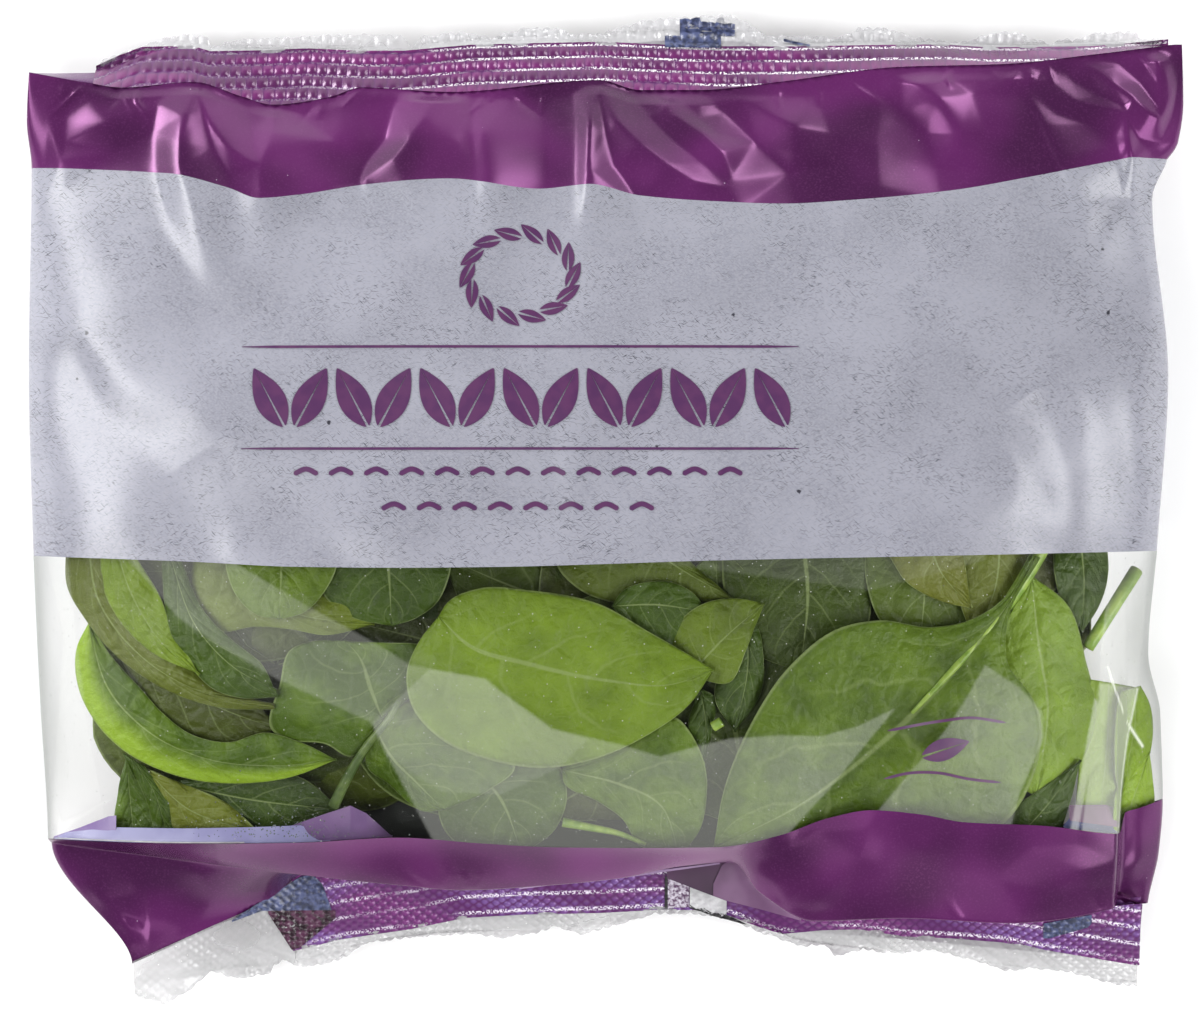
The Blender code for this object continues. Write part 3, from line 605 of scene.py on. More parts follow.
def recycledPaperPrint():
    # film printed to look like recycled paper: pale grey, short dark fibres, a few black flecks
    material, add = newMaterial("printedPolypropylenePaperLook")
    cloud = add("TexNoise", {"Vector": inMillimetres(add, 16.0), "Scale": 1.0, "Detail": 3.0})
    colour = add("Mix", {0: add("MapRange", {0: cloud, 1: 0.35, 2: 0.65}, **soft),
                         6: srgb(paperPrint["ground"]), 7: srgb(paperPrint["light"])},
                 2, data_type="RGBA")
    grain = add("TexNoise", {"Vector": inMillimetres(add, paperPrint["grain"], 0.12), "Scale": 1.0,
                             "Detail": 3.0, "Roughness": 0.7})
    colour = add("Mix", {0: add("MapRange", {0: grain, 1: 0.36, 2: 0.66, 3: 0.0, 4: 0.8}, **soft),
                         6: colour, 7: srgb("#909099")}, 2, data_type="RGBA")
    crowd = add("TexNoise", {"Vector": inMillimetres(add, 11.0), "Scale": 1.0, "Detail": 2.0})
    crowd = add("MapRange", {0: crowd, 1: 0.35, 2: 0.65, 3: 0.35, 4: 1.0}, **soft)
    for turn in (0.15, -0.55, 0.8):
        size = (paperPrint["fibreLength"], paperPrint["fibreWidth"], 40.0)
        streak = add("TexNoise", {"Vector": inMillimetres(add, size, turn), "Scale": 1.0,
                                  "Detail": 1.0})
        shown = add("Math", {0: add("MapRange", {0: streak, 1: 0.65, 2: 0.7}, **soft), 1: crowd},
                    operation="MULTIPLY")
        shown = add("Math", {0: shown, 1: 0.9}, operation="MULTIPLY")
        colour = add("Mix", {0: shown, 6: colour, 7: srgb(paperPrint["fibre"])}, 2,
                     data_type="RGBA")
    ragged = add("TexNoise", {"Vector": inMillimetres(add, 0.7), "Scale": 1.0})
    spots = add("TexVoronoi", {"Vector": inMillimetres(add, paperPrint["fleckSpacing"]),
                               "Scale": 1.0}, "Distance")
    edge = add("Math", {0: ragged, 1: 0.09, 2: spots}, operation="MULTIPLY_ADD")
    colour = add("Mix", {0: add("MapRange", {0: edge, 1: 0.1, 2: 0.08}), 6: colour,
                         7: srgb(paperPrint["fleck"])}, 2, data_type="RGBA")
    shader = add("BsdfPrincipled", {"Base Color": colour, "Roughness": 0.27, "IOR": 1.5})
    add("OutputMaterial", {"Surface": shader})
    return material


# share of light that the face throws back, how metal-like and rough it is, and its tint
clearFilm = {"clearPolypropylene": (0.003, 0.6, 0.12, "#FFFFFF"),
             "clearPolypropyleneCrimped": (0.5, 0.1, 0.2, "#BDBDC0"),
             "clearPolypropyleneCrimpedLow": (0.6, 0.1, 0.24, "#A9A9AA")}


def clearPolypropylene(name):
    # clear film: nearly invisible face on, it shows by the light that its folds throw back; painted
    # reflections of the soft boxes and dust are laid over it as white haze, the stronger of the two at
    # each place
    cover, metallic, roughness, tint = clearFilm[name]
    material, add = newMaterial(name)
    rim = add("LayerWeight", {"Blend": 0.22}, "Fresnel")
    cloud = add("TexNoise", {"Vector": inMillimetres(add, 15.0), "Scale": 1.0, "Detail": 2.0})
    share = add("MapRange", {0: cloud, 1: 0.3, 2: 0.7, 3: cover * 0.7, 4: cover * 1.3}, **soft)
    share = add("Math", {0: rim, 1: 0.1, 2: share}, operation="MULTIPLY_ADD", use_clamp=True)
    face = add("BsdfPrincipled", {"Base Color": srgb(tint), "Metallic": metallic,
                                  "Roughness": roughness})
    steep = add("LayerWeight", {"Blend": 0.5}, "Facing")
    grey = add("Mix", {0: add("MapRange", {0: steep, 1: 0.1, 2: 0.65}, **soft),
                       6: srgb("#FFFFFF"), 7: srgb("#C8CAC8")}, 2, data_type="RGBA")
    through = add("BsdfTransparent", {"Color": grey})
    sheet = add("MixShader", {0: share, 1: through, 2: face})
    reflectionAndDustWhite = add("BsdfPrincipled", {"Base Color": srgb("#F4F6EE"), "Roughness": 0.5})
    # painted reflection: a white share laid on where the soft boxes would shine in the film
    paintedReflection = add("Attribute", out="Fac", attribute_name="paintedReflection")
    dust = add("TexVoronoi", {"Vector": inMillimetres(add, 1.7), "Scale": 1.0}, "Distance")
    dust = add("MapRange", {0: dust, 1: 0.085, 2: 0.05, 4: 0.42})
    paintedReflection = add("Math", {0: paintedReflection, 1: dust}, operation="MAXIMUM")
    add("OutputMaterial", {"Surface": add("MixShader", {0: paintedReflection, 1: sheet, 2: reflectionAndDustWhite})})
    return material


leafFinish = {"dark": "#1A290A", "middle": "#42590F", "bright": "#7E9A27", "olive": "#666926",
              "vein": "#8E9D66", "cell": 1.1, "pocket": 4.4, "roughness": 0.38, "veinPitch": 0.21}


def spinachLeaf():
    # fresh spinach leaf: waxy, mottled green with faint pale veins and a thin light margin
    material, add = newMaterial("spinachLeaf")
    leaf = add("UVMap", uv_map="leaf")
    along = add("SeparateXYZ", {0: leaf}, 1)
    centred = add("Math", {0: add("SeparateXYZ", {0: leaf}, 0), 1: 0.5}, operation="SUBTRACT")
    across = add("Math", {0: add("Math", {0: centred}, operation="ABSOLUTE"), 1: 2.0},
                 operation="MULTIPLY")
    # toneAndShade: each leaf's lightness, with painted shade on deep leaves and painted light on a lit
    # side
    toneAndShade = add("Attribute", out="Fac", attribute_name="toneAndShade")
    olive = add("Attribute", out="Fac", attribute_name="olive")
    mottle = add("TexNoise", {"Vector": inMillimetres(add, 10.0), "Scale": 1.0, "Detail": 4.0,
                              "Roughness": 0.6})
    shade = add("Math", {0: add("Math", {0: mottle, 1: 0.5}, operation="SUBTRACT"), 1: 0.6,
                         2: toneAndShade}, operation="MULTIPLY_ADD")
    colour = add("Mix", {0: add("MapRange", {0: shade, 1: 0.0, 2: 0.55}), 6: srgb(leafFinish["dark"]),
                         7: srgb(leafFinish["middle"])}, 2, data_type="RGBA")
    colour = add("Mix", {0: add("MapRange", {0: shade, 1: 0.5, 2: 1.05}), 6: colour,
                         7: srgb(leafFinish["bright"])}, 2, data_type="RGBA")
    colour = add("Mix", {0: add("Math", {0: olive, 1: 0.85}, operation="MULTIPLY"), 6: colour,
                         7: srgb(leafFinish["olive"])}, 2, data_type="RGBA")
    # side veins leave the midrib forwards, one every veinPitch of the length on each side
    stagger = add("Math", {0: add("Math", {0: centred, 1: 0.0}, operation="GREATER_THAN"), 1: 0.42},
                  operation="MULTIPLY")
    slant = add("Math", {0: add("Math", {0: across, 1: 1.3}, operation="POWER"), 1: -0.34,
                         2: along}, operation="MULTIPLY_ADD")
    wobble = add("TexNoise", {"Vector": inMillimetres(add, 9.0), "Scale": 1.0, "Detail": 2.0})
    phase = add("Math", {0: slant, 1: 1.0 / leafFinish["veinPitch"], 2: stagger},
                operation="MULTIPLY_ADD")
    phase = add("Math", {0: wobble, 1: 0.5, 2: phase}, operation="MULTIPLY_ADD")
    fold = add("Math", {0: phase, 1: 0.5}, operation="PINGPONG")
    fading = add("MapRange", {0: across, 1: 0.95, 2: 0.4}, **soft)
    sideVein = add("Math", {0: add("MapRange", {0: fold, 1: 0.06, 2: 0.01}, **soft), 1: fading},
                   operation="MULTIPLY")
    midrib = add("MapRange", {0: add("Math", {0: along, 1: 0.03, 2: across},
                                     operation="MULTIPLY_ADD"), 1: 0.05, 2: 0.022}, **soft)
    cells = add("TexNoise", {"Vector": inMillimetres(add, leafFinish["cell"]), "Scale": 1.0,
                             "Detail": 3.0, "Roughness": 0.7})
    drift = add("TexNoise", {"Vector": inMillimetres(add, 6.0), "Scale": 1.0, "Detail": 1.0}, "Color")
    shifted = add("VectorMath", {0: inMillimetres(add, leafFinish["pocket"]), 1: drift},
                  operation="ADD")
    pocket = add("TexVoronoi", {"Vector": shifted, "Scale": 1.0}, "Distance",
                 feature="DISTANCE_TO_EDGE")
    netVein = add("MapRange", {0: pocket, 1: 0.05, 2: 0.0, 4: 0.07}, **soft)
    margin = add("MapRange", {0: across, 1: 0.965, 2: 0.99, 4: 0.5}, **soft)
    pale = add("Math", {0: add("Math", {0: sideVein, 1: 0.2}, operation="MULTIPLY"),
                        1: add("Math", {0: midrib, 1: 0.5}, operation="MULTIPLY")},
               operation="MAXIMUM")
    pale = add("Math", {0: pale, 1: add("Math", {0: netVein, 1: margin}, operation="MAXIMUM")},
               operation="MAXIMUM")
    colour = add("Mix", {0: pale, 6: colour, 7: srgb(leafFinish["vein"])}, 2, data_type="RGBA")
    height = add("Math", {0: cells, 1: 0.7, 2: mottle}, operation="MULTIPLY_ADD")
    puffed = add("MapRange", {0: pocket, 1: 0.0, 2: 0.34}, **soft)
    height = add("Math", {0: puffed, 1: 0.45, 2: height}, operation="MULTIPLY_ADD")
    quilt = add("Math", {0: add("MapRange", {0: fold, 1: 0.0, 2: 0.34}, **soft), 1: fading},
                operation="MULTIPLY")
    height = add("Math", {0: quilt, 1: 0.3, 2: height}, operation="MULTIPLY_ADD")
    bump = add("Bump", {"Height": height, "Strength": 0.9, "Distance": 0.0006})
    shader = add("BsdfPrincipled", {"Base Color": colour, "Roughness": leafFinish["roughness"],
                                    "IOR": 1.45, "Specular IOR Level": 0.3,
                                    "Normal": bump})
    add("OutputMaterial", {"Surface": shader})
    return material


def plainSurface(name, light, dark, size, roughness, bumpDepth=0.0):
    # one colour clouded with another at a stated size, with a fine bump of the same cloud
    material, add = newMaterial(name)
    cloud = add("TexNoise", {"Vector": inMillimetres(add, size), "Scale": 1.0, "Detail": 3.0})
    colour = add("Mix", {0: add("MapRange", {0: cloud, 1: 0.35, 2: 0.65}, **soft), 6: srgb(dark),
                         7: srgb(light)}, 2, data_type="RGBA")
    bump = add("Bump", {"Height": cloud, "Strength": 0.6, "Distance": bumpDepth})
    shader = add("BsdfPrincipled", {"Base Color": colour, "Roughness": roughness, "Normal": bump})
    add("OutputMaterial", {"Surface": shader})
    return material


print("materials")
purpleFilm = printedFilm()
topCrimp, bottomCrimp = crimpedFilm("top"), crimpedFilm("bottom")
paperFilm = recycledPaperPrint()
clearSheet, clearEdge, clearEdgeLow = (clearPolypropylene(name) for name in clearFilm)
leafSkin = spinachLeaf()
# flat inks where the seals cut through print: even colour under a satin film
blueInk = plainSurface("printedPolypropyleneSlate", "#4C5478", "#262B42", 1.2, 0.3, 0.0002)
maroonInk = plainSurface("printedPolypropyleneMaroon", "#502A44", "#200F19", 1.4, 0.25, 0.0002)
speckledInk = plainSurface("printedPolypropyleneSpeckled", "#C9C2CF", "#4E2A50", 0.7, 0.3)
dirtInk = plainSurface("gravureInkBlack", "#1E1C20", "#0E0D10", 1.0, 0.5)
# the film's unprinted back: milky, with the ink behind it showing through; among these pieces
# some are painted light and shade, as noted at each
# also drawn as the painted highlight line under the window's lower edge
paleFilmAndEdgeHighlight = plainSurface("filmBackWhiteAndEdgeHighlight", "#C4C4C6", "#AAAAAC", 3.0, 0.35, 0.0001)
# the notch's facet: plum darkened as painted shade
notchPlumShade = plainSurface("filmNotchPlumShade", "#482848", "#2E162E", 22.0, 0.4)
# also the pink piece of painted light on the notch's facet
pinkBackAndNotchLight = plainSurface("filmBackPinkAndNotchLight", "#7C5A7C", "#644464", 12.0, 0.35, 0.0001)
slateBack = plainSurface("filmBackSlate", "#6A6E9C", "#5A5E8E", 9.0, 0.35, 0.0001)
lilacBack = plainSurface("filmBackLilac", "#9391B8", "#8481AC", 9.0, 0.35, 0.0001)
violetBack = plainSurface("filmBackViolet", "#86709F", "#6D558C", 9.0, 0.35, 0.0001)
# the dark corner strip under the window: painted shadow
shadedBack = plainSurface("filmBackShade", "#6C4E7C", "#44305A", 14.0, 0.4, 0.0001)
# a pale mauve line on the rim of the crease over the bottom seal: painted highlight
creaseRimHighlight = plainSurface("filmCreaseRimHighlight", "#A088A8", "#8C7496", 9.0, 0.35, 0.0001)
# stalks: smooth and waxy, paler than the blades; the heap's middle lies out of the light
stalkSkin = plainSurface("spinachStalkPale", "#8DA546", "#6A882C", 3.0, 0.4, 0.0003)
stalkShade = plainSurface("spinachStalkShaded", "#5C6E34", "#3E5222", 3.0, 0.4, 0.0003)
heapShade = plainSurface("spinachHeapShade", "#141B14", "#090D09", 12.0, 0.6, 0.002)
# water: small shiny domes, darker than the film they hang on
dropWater = plainSurface("condensedWater", "#747C78", "#4C544E", 2.0, 0.1)
# a second ink over the print: a little darker, with the film's own shine
ornamentInk = plainSurface("gravureInkPlum", "#4E264E", "#45204A", 3.0, 0.34)


# Meshes from grids

def gridFaces(rows, columns, first=0):
    # four corner numbers of each cell of a grid that is rows x columns points
    corner = first + np.arange(rows - 1)[:, None] * columns + np.arange(columns - 1)
    return np.stack([corner, corner + 1, corner + columns + 1, corner + columns], -1).reshape(-1, 4)


def makeMesh(name, places, faces, material, uv=None, uvName="film", attributes=()):
    # places in mm as (n, 3), faces as (m, 4) corner numbers, uv and attributes one per point
    mesh = bpy.data.meshes.new(name)
    mesh.vertices.add(len(places))
    mesh.vertices.foreach_set("co", (np.asarray(places) * mm).astype(np.float32).ravel())
    mesh.loops.add(faces.size)
    mesh.loops.foreach_set("vertex_index", faces.astype(np.int32).ravel())
    mesh.polygons.add(len(faces))
    mesh.polygons.foreach_set("loop_start", np.arange(0, faces.size, faces.shape[1], dtype=np.int32))
    mesh.update(calc_edges=True)
    mesh.validate()
    if uv is not None:
        layer = mesh.uv_layers.new(name=uvName)
        layer.data.foreach_set("uv", np.asarray(uv)[faces.ravel()].astype(np.float32).ravel())
    for title, values in dict(attributes).items():
        held = mesh.attributes.new(title, "FLOAT", "POINT")
        held.data.foreach_set("value", np.asarray(values, np.float32))
    mesh.shade_smooth()
    mesh.materials.append(material)
    piece = bpy.data.objects.new(name, mesh)
    bpy.context.scene.collection.objects.link(piece)
    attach(piece, "root")
    return piece


def crowded(low, high, count, share=0.4):
    # count values from low to high, closer together towards both ends
    even = np.linspace(0.0, 1.0, count)
    return low + (high - low) * (even + (0.5 - 0.5 * np.cos(math.pi * even) - even) * share)


def filmPiece(name, surface, vRange, rows, columns, material, uRange=(0.0, 1.0),
              withPaintedReflections=False):
    # a stretch of film: the surface function read on a grid of u and v
    v, u = np.meshgrid(np.linspace(*vRange, rows), crowded(*uRange, columns), indexing="ij")
    x, y, z = surface(u, v)
    faces = gridFaces(rows, columns)
    if surface is backSurface:
        faces = faces[:, ::-1]
    places = np.stack([x, y, z], -1).reshape(-1, 3)
    uv = np.stack([x / 100.0, v], -1).reshape(-1, 2)
    marks = {"paintedReflection": paintedReflectionStrength(x, y).ravel()} if withPaintedReflections else ()
    return makeMesh(name, places, faces, material, uv, attributes=marks)


# Painted reflections: white haze laid on the clear film where the soft boxes would shine in it, and
# thin painted highlights along its creases. Outline in photo pixels, share.
paintedReflections = (
    (((120, 552), (178, 618), (216, 644), (280, 680), (372, 722), (380, 738), (436, 742), (500, 720),
      (500, 690), (486, 678), (410, 664), (380, 645), (320, 612), (223, 556)), 0.075),
    (((372, 722), (388, 756), (434, 845), (600, 850), (775, 850), (830, 790), (895, 708), (858, 726),
      (822, 736), (780, 735), (730, 738), (696, 746), (660, 756), (620, 744), (552, 728), (500, 690),
      (486, 678), (430, 668)), 0.1),
    (((372, 722), (388, 756), (440, 792), (500, 796), (560, 768), (590, 738), (552, 728), (500, 690),
      (486, 678), (430, 668)), 0.135),
    (((985, 665), (1020, 688), (1043, 712), (1045, 740), (1022, 794), (1012, 835), (860, 835),
      (905, 780), (945, 730), (965, 700)), 0.1),
    (((1114, 550), (1111, 600), (1104, 655), (1102, 700), (1094, 760), (1084, 850), (1125, 850),
      (1134, 760), (1144, 690), (1150, 640), (1157, 550)), 0.06),
    (((1103, 684), (1102, 700), (1094, 760), (1084, 850), (1125, 850), (1134, 760), (1144, 690)),
     0.2),
    (((1098, 700), (1105, 705), (1092, 780), (1080, 845), (1072, 845)), 0.2),
    (((40, 550), (58, 640), (44, 830), (100, 822), (86, 740), (72, 640), (62, 550)), 0.06),
    (((560, 552), (640, 560), (870, 590), (985, 560), (985, 550)), 0.03),
    (((1111, 668), (1118, 690), (1129, 716), (1137, 731), (1152, 752), (1153, 750), (1143, 736),
      (1133, 722), (1120, 690), (1112, 667)), 0.7),
    (((1143, 690), (1134, 740), (1124, 832), (1126, 832), (1136, 740), (1145, 690)), 0.45),
    (((1114, 550), (1111, 600), (1104, 655), (1105, 655), (1112, 600), (1115, 550)), 0.25),
    (((46, 800), (50, 842), (58, 834), (110, 800), (56, 826)), 0.12),
)


def paintedReflectionStrength(x, y):
    # each outline's share, even-odd inside it, over an edge 0.7 mm wide; the strongest one counts
    total = np.zeros(x.shape)
    for outline, share in paintedReflections:
        spots = fromPhoto(outline, level["paintedReflections"])
        within = np.zeros(x.shape, bool)
        for a, b in zip(spots, np.roll(spots, -1, 0)):
            crosses = (a[1] > y) != (b[1] > y)
            rise = b[1] - a[1] if abs(b[1] - a[1]) > 1e-9 else 1e-9
            within ^= crosses & (x < a[0] + (b[0] - a[0]) * (y - a[1]) / rise)
        apart = pathDistance(np.vstack([spots, spots[:1]]), x, y)[0]
        signed = np.where(within, apart, -apart)
        total = np.maximum(total, share * smoothStep(-0.35, 0.35, signed))
    return total


print("film")
film = filmPiece("film_panel_paper", frontSurface, (4.0, 5.0), 200, 480, paperFilm)
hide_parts("spinach_bag")
filmPiece("film_window", frontSurface, (3.0, 4.0), 180, 520, clearSheet, withPaintedReflections=True)
for name, surface, vRange, rows, columns, material, slot in (
        ("film_band_top", frontSurface, (5.0, 6.0), 150, 630, purpleFilm, "printed_film"),
        ("film_band_bottom", frontSurface, (1.0, 3.0), 100, 430, purpleFilm, "printed_film"),
        ("film_back_paper", backSurface, (4.0, 5.0), 60, 300, paperFilm, "paper_print_film"),
        ("film_back_band_top", backSurface, (5.0, 6.0), 40, 300, purpleFilm, "printed_film"),
        ("film_back_window", backSurface, (3.0, 4.0), 60, 300, clearSheet, "clear_film"),
        ("film_back_band_bottom", backSurface, (1.0, 3.0), 50, 300, purpleFilm, "printed_film"),
        ("film_back_seal_top", backSurface, (6.0, 6.8), 24, 300, topCrimp, "printed_film"),
        ("film_back_seal_bottom", backSurface, (0.3, 1.0), 24, 300, bottomCrimp, "printed_film")):
    uRange = (0.19, 1.0) if name == "film_back_seal_bottom" else (0.0, 1.0)
    filmPiece(name, surface, vRange, rows, columns, material, uRange)


# Seals. Their borders are read off the photo: the line where the print ends and the torn edge.
inkEdge = {
    "top": fromPhoto(((22, 66), (37, 66.3), (96, 65.4), (118, 55), (141, 46.3), (191, 45), (210, 51),
                      (260, 50), (308, 48), (360, 51), (405, 51), (470, 45), (520, 43.4), (602, 41.5),
                      (665, 45), (721, 47), (780, 47), (880, 45), (943, 44), (987, 47), (1048, 47),
                      (1092, 47), (1141, 42), (1169, 39), (1184, 44)), level["sealEdges"]),
    "bottom": fromPhoto(((284, 956), (292, 952), (341, 940), (411, 930), (464, 919), (525, 915.5),
                         (600, 914), (655, 911), (700, 911), (728, 916), (765, 930), (784, 935),
                         (823, 931), (860, 930), (903, 937), (951, 939), (1003, 943), (1055, 952),
                         (1137, 966)), level["sealEdges"]),
}
tornEdge = {
    "top": fromPhoto(((60, 65), (96, 64), (115, 55), (152, 42), (180, 34), (208, 37), (211, 48),
                      (236, 40), (290, 38), (328, 36), (372, 35), (404, 37), (412, 49), (420, 38),
                      (460, 32), (492, 38), (524, 28), (556, 28), (572, 34), (600, 34), (620, 28),
                      (640, 22), (676, 18), (732, 16), (752, 26), (764, 36), (840, 38), (860, 28),
                      (888, 28), (916, 38), (960, 43), (984, 36), (1004, 32), (1020, 34), (1036, 40),
                      (1052, 45), (1060, 40), (1080, 40), (1090, 34), (1136, 32), (1139, 40),
                      (1169, 38)), level["sealEdges"]),
    "bottom": fromPhoto(((128, 972), (131, 1004), (138, 1012), (168, 1004), (190, 990), (210, 972),
                         (236, 980), (270, 974), (273, 966), (286, 960), (293, 967), (320, 966),
                         (344, 958), (364, 944), (408, 938), (468, 934), (500, 939), (536, 934),
                         (556, 927), (580, 936), (620, 925), (656, 914), (700, 915), (728, 919),
                         (764, 934), (802, 947), (825, 945), (835, 957), (866, 950), (884, 954),
                         (905, 954), (932, 950), (981, 963), (1007, 972), (1033, 969), (1068, 972),
                         (1098, 980), (1116, 985), (1144, 987)), level["sealEdges"]),
}


def lineHeight(path, x):
    # y of a border over x, straight between its points
    return np.interp(x, path[:, 0], path[:, 1])


def sealPress(side, x, y):
    # ribs pressed across the top seal in rows: height |sin| along a row, 0 between two rows; the
    # bottom seal has diamonds: |sin a sin b| of its two diagonals
    if side == "bottom":
        wave = 0.25 * np.sin(x / 3.7) + 0.3 * np.sin(x / 7.9 + y / 3.0)
        a, b = (x / crimp["diamond"][0] + way * (y + wave) / crimp["diamond"][1] for way in (1, -1))
        lattice = np.abs(np.sin(math.pi * a) * np.sin(math.pi * b)) ** 0.6
        return crimp["ribHeight"] * lattice * (0.6 + 0.3 * np.sin(x / 5.1 + y / 2.2))
    depth = np.abs(lineHeight(inkEdge[side], x) - y)
    first, pitch = crimp[side]["rows"]
    row = (depth - first) / pitch
    slant = 0.42 * np.floor(row)
    stretch = x + 1.1 * np.sin(x / 13.0) + 0.5 * np.sin(x / 4.7)
    rib = np.abs(np.sin(math.pi * (stretch / crimp["ribPitch"] + slant)))
    return crimp["ribHeight"] * (0.25 + 0.75 * rib) * np.abs(np.sin(math.pi * row)) ** 0.7


def sealSheet(name, side, lower, upper, xRange, rows, columns, material, lift=0.0,
              fray=0.0, lumps=0.0, pressed=1.0):
    # film between two borders of a seal: t from 0 to 1 across it, pressed with ribs, and frayed
    # at its outer border by lobes of a few sizes
    outward = 1.0 if side == "top" else -1.0
    inner, cut = (6, 7) if side == "top" else (1, 0)
    t, x = np.meshgrid(np.linspace(0, 1, rows), np.linspace(*xRange, columns), indexing="ij")
    low = lower(x) if callable(lower) else lineHeight(lower, x)
    high = upper(x) if callable(upper) else lineHeight(upper, x)
    lobes = (np.abs(np.sin(x / 1.07 + np.sin(x / 2.3))) + 0.6 * np.abs(np.sin(x / 0.61)) - 0.8)
    outer = t if side == "top" else 1.0 - t
    y = low + (high - low) * t + outward * fray * lobes * smoothStep(0.5, 1.0, outer)
    innerY, cutY = readCurve(lines[inner], x), readCurve(lines[cut], x)
    v = inner + (cut - inner) * np.clip((y - innerY) / (cutY - innerY), -0.3, 1.2)
    left, right = readCurve(leftFold, v), readCurve(rightFold, v)
    u = np.clip((x - left) / (right - left), 0.0, 1.0)
    press = sealPress(side, x, y) * pressed
    z = frontHeight(u, v, x, y, False) + press + lift
    z = z + lumps * outer * (np.sin(x / 2.1 + 2.0 * np.sin(y / 1.7)) * np.sin(y / 1.3 + x / 5.0))
    depth = np.abs(lineHeight(inkEdge[side], x) - y)
    uv = np.stack([x / 100.0, depth / 100.0], -1).reshape(-1, 2)
    return makeMesh(name, np.stack([x, y, z], -1).reshape(-1, 3), gridFaces(rows, columns), material,
                    uv, attributes={"press": press.ravel() / crimp["ribHeight"]})


def sealLine(index, shift=0.0):
    # y over x of one of the bag's lines, moved along by shift
    return lambda x: readCurve(lines[index], x) + shift


sealSheet("film_seal_top", "top", sealLine(6), inkEdge["top"], (-112.0, 124.6), 44, 1150,
          topCrimp)
sealSheet("film_seal_bottom", "bottom", inkEdge["bottom"], sealLine(1, 1.2), (-68.6, 118.4), 44,
          850, bottomCrimp)
sealSheet("film_edge_top", "top", lambda x: lineHeight(inkEdge["top"], x) - 1.0, tornEdge["top"],
          (-111.0, 123.4), 16, 1000, clearEdge, -0.05, 0.5, 0.6)
sealSheet("film_edge_bottom", "bottom", tornEdge["bottom"],
          lambda x: np.where(x < -68, readCurve(lines[1], x) + 0.4,
                             lineHeight(inkEdge["bottom"], x) + 1.0),
          (-103.6, 118.0), 30, 1000, clearEdgeLow, -0.05, 0.4, 0.6)
patches = (
    ("print_patch_top", "top", ((665, 47), (721, 48)), ((665, 35), (721, 35)), blueInk),
    ("print_patch_top_torn", "top", ((680, 36), (735, 36)),
     ((680, 19), (700, 17), (701, 22), (716, 22), (717, 18), (724, 18), (725, 22), (735, 24)),
     blueInk),
    ("print_patch_top_mark", "top", ((784, 41), (796, 44), (810, 46)),
     ((784, 38), (796, 41), (810, 44)), blueInk),
    ("print_patch_slate", "bottom", ((232, 922), (262, 911), (331, 911)),
     ((232, 920), (260, 902), (300, 877), (312, 874), (322, 884), (331, 910)), blueInk),
    ("print_patch_maroon", "bottom", ((268, 914), (291, 951), (299, 949), (335, 919)),
     ((268, 911), (335, 911)), maroonInk),
    ("print_patch_bar", "bottom", ((665, 910), (668, 910)), ((665, 877), (668, 877)), dirtInk),
    ("print_patch_speckled", "bottom", ((668, 910), (689, 908)), ((668, 879), (689, 887)),
     speckledInk),
    ("film_patch_pale", "bottom", ((690, 908), (702, 912), (719, 918), (727, 917)),
     ((690, 888), (727, 902)), paleFilmAndEdgeHighlight),
    ("print_patch_dirt", "bottom", ((690, 910), (702, 913), (712, 917), (724, 920), (746, 926)),
     ((690, 906), (697, 910), (704, 909), (712, 914), (724, 915), (734, 919), (746, 925)), dirtInk),
    ("print_patch_corner", "bottom", ((1044, 939), (1050, 939), (1088, 928), (1092, 924)),
     ((1044, 924), (1092, 915)), blueInk),
)
for name, side, low, high, material in patches:
    low, high = fromPhoto(low, level["patches"]), fromPhoto(high, level["patches"])
    sealSheet(name, side, low, high, (low[0, 0], low[-1, 0]), 24, 120, material,
              0.3, 0.3 if "torn" in name else 0.0, pressed=0.9)
# the folded notch in the bottom edge, a dark piece of painted shade under a pink piece of painted
# light, and the crease's rim as a painted highlight: name, lower and upper border, x range, rows,
# columns, material, lift
notchTop = ((734, 857), (743, 862), (749, 875), (757, 885), (781, 903), (803, 919))
for name, low, high, xRange, rows, columns, material, lift in (
        ("film_notch_shaded_facet", ((667, 879), (690, 888), (727, 902), (763, 911), (803, 922)),
         ((667, 872), (699, 864)) + notchTop, (14.0, 43.6), 30, 160, notchPlumShade, 1.4),
        ("film_notch_painted_light", ((714, 897), (727, 902), (763, 911), (803, 922)),
         ((714, 884), (722, 866)) + notchTop, (24.2, 43.6), 30, 120, pinkBackAndNotchLight, 1.7),
        ("film_crease_rim_highlight", ((518, 890), (553, 885.5), (617, 879.5), (665, 872.5), (721, 864.5)),
         ((518, 889), (553, 883), (617, 876.5), (665, 870), (721, 863)), (-18.6, 25.6), 6, 160,
         creaseRimHighlight, 1.6)):
    low, high = fromPhoto(low, level["notch"]), fromPhoto(high, level["notch"])
    sealSheet(name, "bottom", low, high, xRange, rows, columns, material, lift,
              pressed=0.0)


# Leaves

